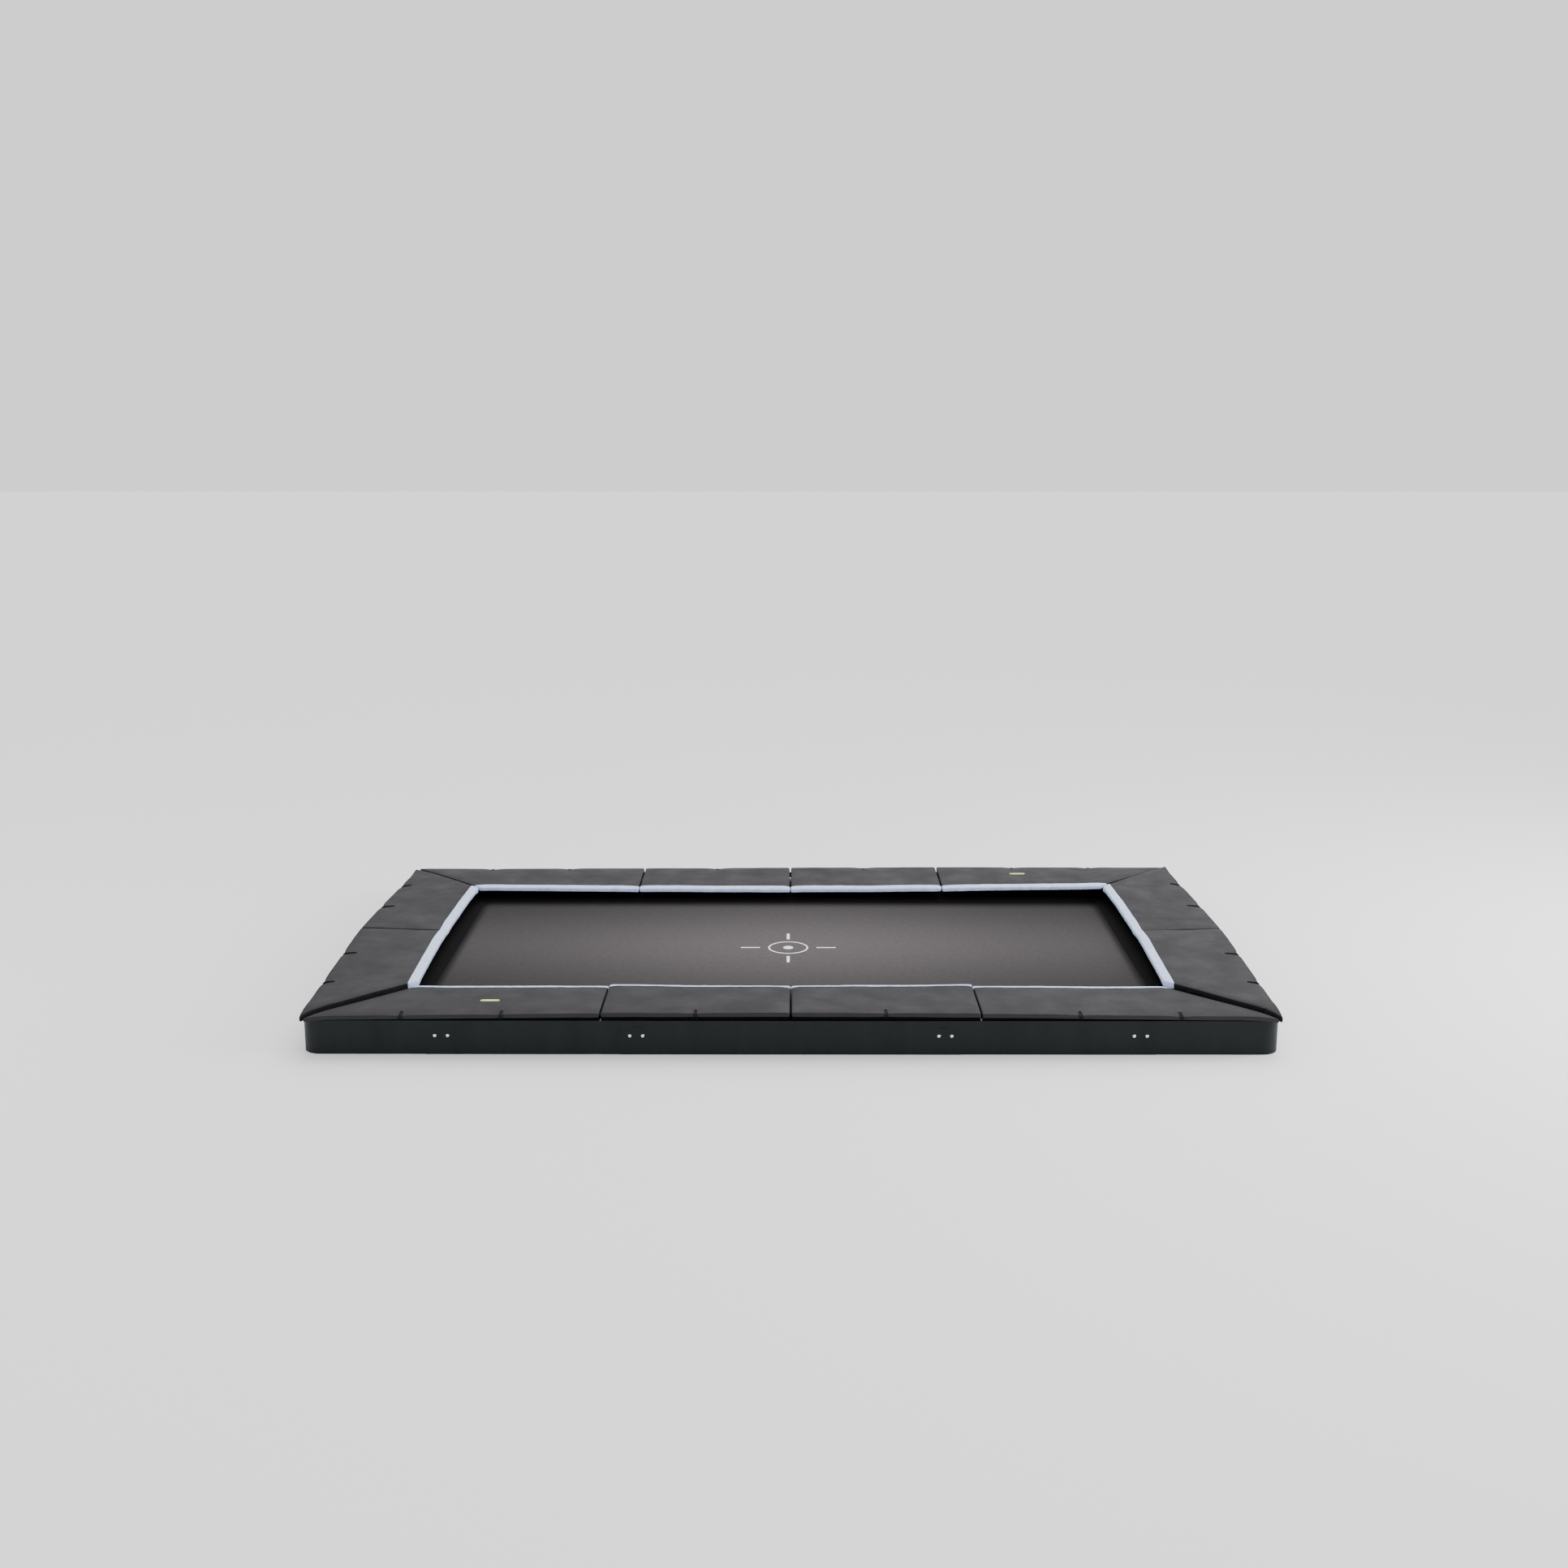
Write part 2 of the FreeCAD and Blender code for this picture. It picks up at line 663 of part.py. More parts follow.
bed = body_with("bed_fabric")
bind(bed, Placement__Base__z="@rail_level - @bed_thickness / 2")
outline = polygon(sketch_on(bed, "bed_outline", "XY_Plane"), rectangle(BED_HALF_X, BED_HALF_Y))
round_corners(bed, pad_feature(bed, outline, "bed_sheet", Length="@bed_thickness"), "@bed_corner_radius")

border = body_with("bed_border")
bind(border, Placement__Base__z="@rail_level + @bed_thickness / 2")
outline = polygon(sketch_on(border, "border_outline", "XY_Plane"), rectangle(BED_HALF_X, BED_HALF_Y))
polygon(outline, rectangle(f"{BED_HALF_X} - @border_width", f"{BED_HALF_Y} - @border_width"))
round_corners(border, pad_feature(border, outline, "border_band", Length="@border_thickness"),
              "@bed_corner_radius")


# ---------------------------------------------------------------- safety pads
# Foam pads in sewn covers. A pad slopes down from its outer edge, which stands over the
# wall, to its inner edge over the springs. The end pads are mitred where two sides meet.
MITRE_PASS = 0.1


def safety_pad(node, side, start, end, mitre):
    """A pad between two stations, cell expressions; mitre is its mitred end, -1, 1 or 0."""
    kind, other = ("long", "side") if side in LONG_SIDES else ("side", "long")
    width, across = f"@pad_{kind}_width", f"@pad_{other}_width"
    outer, inner = f"@pad_{kind}_outer_level", f"@pad_{kind}_inner_level"
    body = body_with(node)
    begin = body.evalExpression(expression(start))
    body.Placement = on_side(side, begin, -size("pad_overhang"))
    section = polygon(sketch_on(body, f"{node}_section", "YZ_Plane"),
                      [("0", outer), (width, inner), (width, f"{inner} + @pad_thickness"),
                       ("0", f"{outer} + @pad_thickness")])
    length = f"{end} - ({start})"
    pad_feature(body, section, f"{node}_slab", Length=length)
    if mitre == 0:
        return
    corner = f"{length} - @pad_seam_gap" if mitre > 0 else "@pad_seam_gap"
    outside = f"{corner} + {mitre * MITRE_PASS} * {across}"
    past = f"{1 + MITRE_PASS} * {width}"
    outline = [(outside, f"-{MITRE_PASS} * {width}"), (outside, past),
               (f"{corner} - {mitre * (1 + MITRE_PASS)} * {across}", past)]
    pocket = body.newObject("PartDesign::Pocket", f"{node}_mitre")
    pocket.Profile = polygon(sketch_on(body, f"{node}_mitre_line", "XY_Plane"), outline)
    pocket.SideType = "Symmetric"
    pocket.Type = "ThroughAll"
    body.Tip = pocket


SEAM = "@pad_seam_station"
HALF_GAP = "@pad_seam_gap / 2"
for side in LONG_SIDES:
    corner_end = "@frame_length / 2 + @pad_overhang"
    right, left = end_name(side, 1), end_name(side, -1)
    safety_pad(f"pad_{side}_middle_{right}", side, HALF_GAP, f"{SEAM} - {HALF_GAP}", 0)
    safety_pad(f"pad_{side}_middle_{left}", side, f"-{SEAM} + {HALF_GAP}", f"-{HALF_GAP}", 0)
    safety_pad(f"pad_{side}_corner_{right}", side, f"{SEAM} + {HALF_GAP}", corner_end, 1)
    safety_pad(f"pad_{side}_corner_{left}", side, f"-({corner_end})", f"-{SEAM} - {HALF_GAP}", -1)
for side in SHORT_SIDES:
    corner_end = "@frame_width / 2 + @pad_overhang"
    safety_pad(f"pad_{side}_{end_name(side, 1)}", side, HALF_GAP, corner_end, 1)
    safety_pad(f"pad_{side}_{end_name(side, -1)}", side, f"-({corner_end})", f"-{HALF_GAP}", -1)


# ---------------------------------------------------------------- elastic loops
# A loop of elastic cord holds each pad's outer edge: from behind the wall it comes out over
# the wall, up over the edge, through an eyelet on top of the pad and back the same way.
def rounded_path(points, radius):
    """Straight runs through the points, joined by tangent arcs of one radius."""
    edges = []
    start = points[0]
    for before, corner, after in zip(points, points[1:], points[2:]):
        back = (before - corner).normalize()
        ahead = (after - corner).normalize()
        half_turn = back.getAngle(ahead) / 2
        reach = radius / math.tan(half_turn)
        first, last = corner + back * reach, corner + ahead * reach
        middle_way = (back + ahead).normalize()
        middle = corner + middle_way * (radius / math.sin(half_turn) - radius)
        edges.append(Part.LineSegment(start, first).toShape())
        edges.append(Part.Arc(first, middle, last).toShape())
        start = last
    edges.append(Part.LineSegment(start, points[-1]).toShape())
    return Part.Wire(edges)


def elastic_loop(outer_level):
    radius = size("loop_wire") / 2
    room = size("loop_clearance") + radius
    half = size("loop_spread") / 2
    behind_wall = 3 * size("wall_thickness") + size("loop_wall_gap") + radius
    outside = -size("pad_overhang") - room
    over_pad = outer_level + size("pad_thickness") + room
    under_pad = outer_level - size("loop_under_gap") - radius
    eyelet = size("loop_setback") - size("pad_overhang")
    tail = size("loop_tail_level")
    leg = [(behind_wall, tail), (behind_wall, under_pad), (outside, under_pad),
           (outside, over_pad), (eyelet, over_pad)]
    points = [Vector(-half, y, z) for y, z in leg] + [Vector(half, y, z) for y, z in reversed(leg)]
    path = rounded_path(points, size("loop_bend_radius"))
    circle = Part.Wire(Part.makeCircle(radius, points[0], Vector(0, 0, 1)))
    return path.makePipeShell([circle], True, False)


loops = []
for side in SIDES:
    if side in LONG_SIDES:
        level = size("pad_long_outer_level")
        names = ("loop_middle_station", "loop_outer_station", "loop_corner_station")
    else:
        level = size("pad_side_outer_level")
        names = ("loop_side_inner_station", "loop_side_outer_station")
    for name in names:
        for sign in (-1, 1):
            loop = elastic_loop(level)
            loop.Placement = on_side(side, sign * size(name))
            loops.append(loop)
made("pad_loops", Part.makeCompound(loops))


# ---------------------------------------------------------------- check and write
doc.recompute()
faults = [f"{f.Name}: {f.State}" for f in doc.Objects if "Invalid" in f.State or "Error" in f.State]
for node, feature in parts.items():
    shape = feature.Shape
    if shape.isNull() or not shape.isValid() or not shape.Solids:
        faults.append(f"{node}: shape")
if faults:
    sys.exit("\n".join(faults))
for node, feature in parts.items():
    feature.Shape.exportStep(f"parts/{node}.step")
print(len(parts), "parts")
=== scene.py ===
import math

import bpy
import numpy as np
from mathutils import Matrix, Vector, noise


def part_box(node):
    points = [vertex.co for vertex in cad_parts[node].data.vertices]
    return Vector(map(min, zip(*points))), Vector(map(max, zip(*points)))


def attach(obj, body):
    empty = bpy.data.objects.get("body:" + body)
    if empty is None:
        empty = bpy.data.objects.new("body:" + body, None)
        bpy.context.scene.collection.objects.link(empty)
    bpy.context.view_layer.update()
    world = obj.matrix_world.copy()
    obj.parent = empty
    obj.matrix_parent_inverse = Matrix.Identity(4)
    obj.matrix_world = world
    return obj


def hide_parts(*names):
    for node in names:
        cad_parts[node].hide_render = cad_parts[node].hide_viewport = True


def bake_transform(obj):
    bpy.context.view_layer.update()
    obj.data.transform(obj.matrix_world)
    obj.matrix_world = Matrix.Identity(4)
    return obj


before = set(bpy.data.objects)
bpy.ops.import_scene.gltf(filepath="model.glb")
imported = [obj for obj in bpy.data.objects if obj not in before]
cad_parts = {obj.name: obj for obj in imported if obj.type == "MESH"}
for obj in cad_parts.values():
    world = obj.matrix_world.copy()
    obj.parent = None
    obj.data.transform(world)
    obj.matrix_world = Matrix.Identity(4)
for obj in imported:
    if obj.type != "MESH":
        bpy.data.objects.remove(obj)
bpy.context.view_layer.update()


# ---- Camera -------------------------------------------------------------------------
# At the eye of someone on low steps, ten metres in front of the long side, looking slightly
# down on the pads.
EYE = (-0.010, -10.378, 3.366)
LOOK_DOWN = math.radians(12.115)
TURN = math.radians(0.164)
bpy.ops.object.camera_add(location=EYE, rotation=(math.pi / 2 - LOOK_DOWN, 0, TURN))
camera = bpy.context.object
camera.data.lens = 40.66
camera.data.sensor_width = 36
bpy.context.scene.camera = camera


# ---- Studio -------------------------------------------------------------------------
# A pale floor under a white sky of light, with a very soft sun from behind that draws a
# shadow along the front wall, and a wide soft lamp at each end.
bpy.ops.mesh.primitive_plane_add(size=120, location=(0, 0, 0))
floor = bpy.context.object
floor.name = "studio_floor"
floor_finish = bpy.data.materials.new("studio_floor")
floor_finish.use_nodes = True
floor_shader = floor_finish.node_tree.nodes["Principled BSDF"]
floor_shader.inputs["Base Color"].default_value = (0.80, 0.80, 0.80, 1)
floor_shader.inputs["Roughness"].default_value = 0.9
floor_shader.inputs["Specular IOR Level"].default_value = 0.0
floor.data.materials.append(floor_finish)

sky = bpy.data.worlds.new("studio_sky")
sky.use_nodes = True
sky.node_tree.nodes["Background"].inputs["Color"].default_value = (1, 1, 1, 1)
sky.node_tree.nodes["Background"].inputs["Strength"].default_value = 1.3
bpy.context.scene.world = sky


def soft_lamp(name, place, aim, width, depth, power):
    bpy.ops.object.light_add(type="AREA", location=place)
    lamp = bpy.context.object
    lamp.name = name
    lamp.data.shape = "RECTANGLE"
    lamp.data.size = width
    lamp.data.size_y = depth
    lamp.data.energy = power
    direction = Vector(aim) - Vector(place)
    lamp.rotation_euler = direction.to_track_quat("-Z", "Y").to_euler()


bpy.ops.object.light_add(type="SUN", location=(1.5, 5, 6), rotation=(math.radians(-42), math.radians(10), 0))
soft_sun = bpy.context.object
soft_sun.name = "soft_sun"
soft_sun.data.energy = 2.6
soft_sun.data.angle = math.radians(50)
soft_lamp("right_lamp", (8, -1, 3.5), (1, 0, 0.1), 4, 4, 640)
soft_lamp("left_lamp", (-8, -2, 3.5), (-1, 0, 0.1), 4, 4, 90)


# ---- Galvanised tube frame ----------------------------------------------------------
# The top rail of bent and straight steel tubes and the twelve welded socket legs, all
# hot-dip galvanised: a dull zinc grey with a faint spangle and darker streaks.
def new_finish(name, colour, roughness, metallic=0.0, specular=0.5):
    finish = bpy.data.materials.new(name)
    finish.use_nodes = True
    shader = finish.node_tree.nodes["Principled BSDF"]
    shader.inputs["Base Color"].default_value = (*colour, 1)
    shader.inputs["Roughness"].default_value = roughness
    shader.inputs["Metallic"].default_value = metallic
    shader.inputs["Specular IOR Level"].default_value = specular
    return finish, shader


def node_in(finish, kind, **inputs):
    node = finish.node_tree.nodes.new(kind)
    for name, value in inputs.items():
        node.inputs[name].default_value = value
    return node


def join(finish, source, output, target, socket):
    finish.node_tree.links.new(source.outputs[output], target.inputs[socket])


def place_source(finish, stretch=(1, 1, 1)):
    """Object coordinates, stretched along the axes."""
    coordinates = node_in(finish, "ShaderNodeTexCoord")
    mapping = node_in(finish, "ShaderNodeMapping", Scale=stretch)
    join(finish, coordinates, "Object", mapping, "Vector")
    return mapping


def mottle(finish, shader, dark, light, scale, stretch=(1, 1, 1), detail=6.0, middle=0.5, spread=0.3):
    """Colours the surface between two colours with a noise at that scale."""
    cloud = node_in(finish, "ShaderNodeTexNoise", Scale=scale, Detail=detail, Roughness=0.6)
    join(finish, place_source(finish, stretch), "Vector", cloud, "Vector")
    ramp = node_in(finish, "ShaderNodeValToRGB")
    ramp.color_ramp.elements[0].position = middle - spread
    ramp.color_ramp.elements[0].color = (*dark, 1)
    ramp.color_ramp.elements[1].position = middle + spread
    ramp.color_ramp.elements[1].color = (*light, 1)
    join(finish, cloud, "Fac", ramp, "Fac")
    join(finish, ramp, "Color", shader, "Base Color")
    return ramp


def roughen(finish, shader, low, high, scale, stretch=(1, 1, 1)):
    cloud = node_in(finish, "ShaderNodeTexNoise", Scale=scale, Detail=4.0)
    join(finish, place_source(finish, stretch), "Vector", cloud, "Vector")
    span = node_in(finish, "ShaderNodeMapRange")
    span.inputs["From Min"].default_value = 0.3
    span.inputs["From Max"].default_value = 0.7
    span.inputs["To Min"].default_value = low
    span.inputs["To Max"].default_value = high
    join(finish, cloud, "Fac", span, "Value")
    join(finish, span, "Result", shader, "Roughness")


def bump_from(finish, shader, source, output, distance, strength=1.0, below=None):
    bump = node_in(finish, "ShaderNodeBump", Strength=strength, Distance=distance)
    join(finish, source, output, bump, "Height")
    if below is not None:
        join(finish, below, "Normal", bump, "Normal")
    join(finish, bump, "Normal", shader, "Normal")
    return bump


def noise_bump(finish, shader, scale, distance, stretch=(1, 1, 1), strength=1.0, below=None):
    grain = node_in(finish, "ShaderNodeTexNoise", Scale=scale, Detail=3.0)
    join(finish, place_source(finish, stretch), "Vector", grain, "Vector")
    return bump_from(finish, shader, grain, "Fac", distance, strength, below)


def finish_nodes(finish, nodes):
    """Gives CAD nodes a finish in place of their plain colour."""
    for node in nodes:
        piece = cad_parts[node]
        for slot in piece.material_slots:
            slot.material = finish


galvanised, galvanised_shader = new_finish("galvanised_steel", (0.45, 0.47, 0.48), 0.45, metallic=0.85)
spangle = node_in(galvanised, "ShaderNodeTexVoronoi", Scale=90.0)
join(galvanised, place_source(galvanised), "Vector", spangle, "Vector")
spangle_ramp = node_in(galvanised, "ShaderNodeValToRGB")
spangle_ramp.color_ramp.elements[0].color = (0.33, 0.35, 0.36, 1)
spangle_ramp.color_ramp.elements[1].color = (0.52, 0.54, 0.55, 1)
join(galvanised, spangle, "Color", spangle_ramp, "Fac")
join(galvanised, spangle_ramp, "Color", galvanised_shader, "Base Color")
roughen(galvanised, galvanised_shader, 0.34, 0.6, 25.0)
noise_bump(galvanised, galvanised_shader, 300.0, 0.0004)
frame_nodes = [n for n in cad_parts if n.startswith(("leg_", "rail_", "corner_rail_"))]
finish_nodes(galvanised, frame_nodes)


# ---- Retaining wall panels ----------------------------------------------------------
# Extruded polyethylene sheet in a very dark grey green, lapped and bolted at the legs.
# The sheet has faint upright streaks from the die and a soft sheen.
wall_finish, wall_shader = new_finish("dark_sheet", (0.009, 0.012, 0.0125), 0.45, specular=0.1)
mottle(wall_finish, wall_shader, (0.0075, 0.0098, 0.0102), (0.0115, 0.0145, 0.0152), 2.2,
       stretch=(3.0, 3.0, 0.6), detail=8.0)
roughen(wall_finish, wall_shader, 0.34, 0.5, 14.0, stretch=(1, 1, 0.15))
noise_bump(wall_finish, wall_shader, 6.0, 0.004, stretch=(1, 1, 0.2), strength=0.35)
finish_nodes(wall_finish, [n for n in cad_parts
                           if n.startswith("wall_") and n not in ("wall_bolts", "wall_nuts", "wall_washers")])


# ---- Zinc-plated fasteners ----------------------------------------------------------
# Carriage bolts, washers, nuts and the socket screws: bright zinc plate with fine scratches.
zinc, zinc_shader = new_finish("bright_zinc", (0.78, 0.79, 0.8), 0.25, metallic=1.0)
mottle(zinc, zinc_shader, (0.66, 0.67, 0.69), (0.86, 0.87, 0.88), 180.0)
roughen(zinc, zinc_shader, 0.18, 0.36, 400.0)
finish_nodes(zinc, ["wall_bolts", "wall_nuts", "wall_washers", "socket_screws"])


# ---- Springs ------------------------------------------------------------------------
# Close-wound extension springs of zinc-plated wire, hooked into the rail at one end and
# into a ring of the bed at the other.
wall_low, wall_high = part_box("wall_front_middle")
SHEET = wall_high.y - wall_low.y
HALF_WIDTH = -wall_low.y
HALF_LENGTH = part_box("wall_right")[1].x + SHEET
RAIL_LOW, RAIL_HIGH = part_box("rail_front_middle")
RAIL_LEVEL = (RAIL_LOW.z + RAIL_HIGH.z) / 2
RAIL_FACE = RAIL_HIGH.y + HALF_WIDTH
BED_LOW, BED_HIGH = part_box("bed_fabric")
BED_EDGE = HALF_WIDTH - BED_HIGH.y
TURNS = {"front": 0, "right": 90, "back": 180, "left": 270}
MIDDLES = {"front": (0, -HALF_WIDTH), "right": (HALF_LENGTH, 0),
           "back": (0, HALF_WIDTH), "left": (-HALF_LENGTH, 0)}


def side_matrix(side):
    """From along the side, inwards and up, to the object's own axes."""
    return Matrix.Translation((*MIDDLES[side], 0)) @ Matrix.Rotation(math.radians(TURNS[side]), 4, "Z")


def tube_along(name, points, radius, sides=6, closed=False, kind="POLY"):
    """A round wire through the points, as a mesh. A NURBS line runs smoothly near them."""
    curve = bpy.data.curves.new(name, "CURVE")
    curve.dimensions = "3D"
    line = curve.splines.new(kind)
    line.points.add(len(points) - 1)
    for point, place in zip(line.points, points):
        point.co = (*place, 1)
    if kind == "NURBS":
        line.order_u = 3
        line.use_endpoint_u = not closed
        curve.resolution_u = 5
    line.use_cyclic_u = closed
    circle = bpy.data.curves.new(f"{name}_section", "CURVE")
    circle.dimensions = "2D"
    ring = circle.splines.new("POLY")
    ring.points.add(sides - 1)
    for i, point in enumerate(ring.points):
        turn = 2 * math.pi * i / sides
        point.co = (radius * math.cos(turn), radius * math.sin(turn), 0, 1)
    ring.use_cyclic_u = True
    section = bpy.data.objects.new(f"{name}_section", circle)
    bpy.context.collection.objects.link(section)
    curve.bevel_mode = "OBJECT"
    curve.bevel_object = section
    curve.use_fill_caps = True
    wire = bpy.data.objects.new(name, curve)
    bpy.context.collection.objects.link(wire)
    bpy.ops.object.select_all(action="DESELECT")
    wire.select_set(True)
    bpy.context.view_layer.objects.active = wire
    bpy.ops.object.convert(target="MESH")
    bpy.data.objects.remove(section)
    bpy.ops.object.shade_smooth()
    return bpy.context.object


def copies_at(master, name, matrices):
    """One piece of copies of the master at those places; the master goes."""
    bpy.ops.object.select_all(action="DESELECT")
    copies = []
    for matrix in matrices:
        copy = master.copy()
        copy.data = master.data.copy()
        copy.data.transform(matrix)
        bpy.context.collection.objects.link(copy)
        copy.select_set(True)
        copies.append(copy)
    bpy.data.objects.remove(master)
    bpy.context.view_layer.objects.active = copies[0]
    bpy.ops.object.join()
    copies[0].name = name
    return copies[0]


SPRING_PITCH = 0.120
SPRING_COUNTS = {"front": 36, "right": 18, "back": 36, "left": 18}
COIL_RADIUS = 0.0094
SPRING_WIRE = 0.0017
COILS = 24
COIL_STEPS = 8
BARREL = (RAIL_FACE + 0.022, RAIL_FACE + 0.185)


def spring_stations(side):
    middle = (SPRING_COUNTS[side] - 1) / 2
    return [SPRING_PITCH * (i - middle) for i in range(SPRING_COUNTS[side])]


def spring_line():
    """The wire's centre line: rail hook, coils, and the hook turned down into a ring."""
    line = [(0, RAIL_FACE - 0.009, -0.004), (0, RAIL_FACE - 0.006, 0), (0, BARREL[0] - 0.012, 0)]
    steps = COILS * COIL_STEPS
    for i in range(steps + 1):
        turn = 2 * math.pi * i / COIL_STEPS
        ease = min(1, i / COIL_STEPS, (steps - i) / COIL_STEPS)
        radius = COIL_RADIUS * max(ease, 0.05)
        along = BARREL[0] + (BARREL[1] - BARREL[0]) * i / steps
        line.append((radius * math.cos(turn), along, radius * math.sin(turn)))
    hook = BED_EDGE - 0.022
    return line + [(0, hook - 0.008, 0.0), (0, hook - 0.001, -0.001), (0, hook, -0.006), (0, hook - 0.004, -0.0105)]


for side in TURNS:
    spring = tube_along("spring_master", spring_line(), SPRING_WIRE, sides=4)
    spring.data.materials.append(zinc)
    places = [side_matrix(side) @ Matrix.Translation((along, 0, RAIL_LEVEL)) for along in spring_stations(side)]
    springs = copies_at(spring, f"coil_springs_{side}", places)
    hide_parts(f"springs_{side}")
    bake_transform(springs)


# ---- Bed rings ----------------------------------------------------------------------
# A bent wire ring for every spring, held by a folded tab of black webbing sewn under the
# bed's edge.
RING_LEVEL = RAIL_LEVEL - 0.005
RING_NOSE = BED_EDGE - 0.026
RING_BASE = BED_EDGE + 0.012


def ring_line():
    corners = [(-0.019, RING_BASE), (0.019, RING_BASE), (0.006, RING_NOSE), (-0.006, RING_NOSE)]
    line = []
    for i, corner in enumerate(corners):
        before, after = Vector(corners[i - 1]), Vector(corners[(i + 1) % 4])
        here = Vector(corner)
        for share in (0.0, 0.5, 1.0):
            back = here.lerp(before, 0.16 * (1 - share))
            ahead = here.lerp(after, 0.16 * share)
            point = back.lerp(ahead, share).lerp(here, 0.45 if share == 0.5 else 0.0)
            line.append((point.x, point.y, RING_LEVEL))
    return line


webbing, webbing_shader = new_finish("black_webbing", (0.004, 0.004, 0.0045), 0.9, specular=0.03)
mottle(webbing, webbing_shader, (0.0025, 0.0025, 0.003), (0.0055, 0.0055, 0.006), 60.0)
ribs = node_in(webbing, "ShaderNodeTexWave", Scale=110.0, Distortion=1.5)
join(webbing, place_source(webbing), "Vector", ribs, "Vector")
bump_from(webbing, webbing_shader, ribs, "Fac", 0.0006, strength=0.6)

ring_places = [side_matrix(side) @ Matrix.Translation((along, 0, 0))
               for side in TURNS for along in spring_stations(side)]
ring = tube_along("ring_master", ring_line(), 0.002, sides=5, closed=True)
ring.data.materials.append(zinc)
rings = copies_at(ring, "wire_rings", ring_places)
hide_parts("bed_rings")
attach(rings, "bed")



def pick_faces(piece, wanted):
    """Opens the piece in edit mode with just the wanted faces selected."""
    bpy.ops.object.select_all(action="DESELECT")
    piece.select_set(True)
    bpy.context.view_layer.objects.active = piece
    bpy.ops.object.mode_set(mode="EDIT")
    bpy.ops.mesh.select_mode(type="FACE")
    bpy.ops.mesh.select_all(action="DESELECT")
    bpy.ops.object.mode_set(mode="OBJECT")
    for face in piece.data.polygons:
        face.select = wanted(face)
    bpy.ops.object.mode_set(mode="EDIT")


TAB_WIDTH = 0.030
bpy.ops.object.select_all(action="DESELECT")
bpy.ops.mesh.primitive_cylinder_add(vertices=10, radius=0.0034, depth=TAB_WIDTH,
                                    location=(0, RING_BASE, RING_LEVEL), rotation=(0, math.pi / 2, 0))
tab = bpy.context.object
bpy.ops.object.transform_apply(location=True, rotation=True, scale=True)
pick_faces(tab, lambda face: face.normal.y > 0.9)
bpy.ops.mesh.extrude_region_move(TRANSFORM_OT_translate={"value": (0, 0.034, 0.0012)})
bpy.ops.object.mode_set(mode="OBJECT")
bpy.ops.object.shade_smooth_by_angle(angle=math.radians(40))
tab.data.materials.append(webbing)
tabs = copies_at(tab, "webbing_tabs", ring_places)
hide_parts("bed_rings")
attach(tabs, "bed")


# ---- Bed ----------------------------------------------------------------------------
# A taut sheet of woven polypropylene mesh. It dips a little at the middle under its own
# weight, and its edge is drawn out at each ring.
BED_HALF_X, BED_HALF_Y = BED_HIGH.x, BED_HIGH.y
BED_CORNER = 0.090
BED_DIP = 0.004
CELL = 0.06


def rounded_sheet(name, half_x, half_y, corner, level, cell):
    """A flat sheet with rounded corners, divided into a grid."""
    bpy.ops.object.select_all(action="DESELECT")
    bpy.ops.mesh.primitive_plane_add(size=2, location=(0, 0, level))
    sheet = bpy.context.object
    sheet.name = name
    sheet.scale = (half_x, half_y, 1)
    bpy.ops.object.transform_apply(location=True, rotation=True, scale=True)
    bpy.ops.object.mode_set(mode="EDIT")
    bpy.ops.mesh.select_all(action="SELECT")
    bpy.ops.mesh.bevel(affect="VERTICES", offset=corner, segments=8)
    for half, normal in ((half_x, (1, 0, 0)), (half_y, (0, 1, 0))):
        count = int(half / cell)
        for i in range(-count, count + 1):
            place = [i * cell * n for n in normal]
            bpy.ops.mesh.select_all(action="SELECT")
            bpy.ops.mesh.bisect(plane_co=place, plane_no=normal)
    bpy.ops.object.mode_set(mode="OBJECT")
    return sheet


def drawn_edge(x, y):
    """How far the bed's edge gives inwards between two rings, fading towards the middle."""
    gap_x, gap_y = BED_HALF_X - abs(x), BED_HALF_Y - abs(y)
    inward, along = (gap_x, y) if gap_x < gap_y else (gap_y, x)
    return 0.0022 * math.exp(-inward / 0.03) * (0.5 - 0.5 * math.cos(2 * math.pi * (along / SPRING_PITCH + 0.5)))


def lay_bed(piece, lift):
    for vertex in piece.data.vertices:
        x, y = vertex.co.x, vertex.co.y
        bowl = (1 - (x / BED_HALF_X) ** 2) * (1 - (y / BED_HALF_Y) ** 2)
        ripple = 0.0008 * noise.noise(Vector((x * 2.2, y * 2.2, 3.0)))
        vertex.co.z += lift - BED_DIP * bowl + ripple
        give = drawn_edge(x, y)
        vertex.co.x -= math.copysign(give, x) if BED_HALF_X - abs(x) < BED_HALF_Y - abs(y) else 0
        vertex.co.y -= math.copysign(give, y) if BED_HALF_X - abs(x) >= BED_HALF_Y - abs(y) else 0


def thicken(piece, thickness, offset):
    bpy.ops.object.select_all(action="DESELECT")
    piece.select_set(True)
    bpy.context.view_layer.objects.active = piece
    solid = piece.modifiers.new("thickness", "SOLIDIFY")
    solid.thickness = thickness
    solid.offset = offset
    bpy.ops.object.modifier_apply(modifier=solid.name)


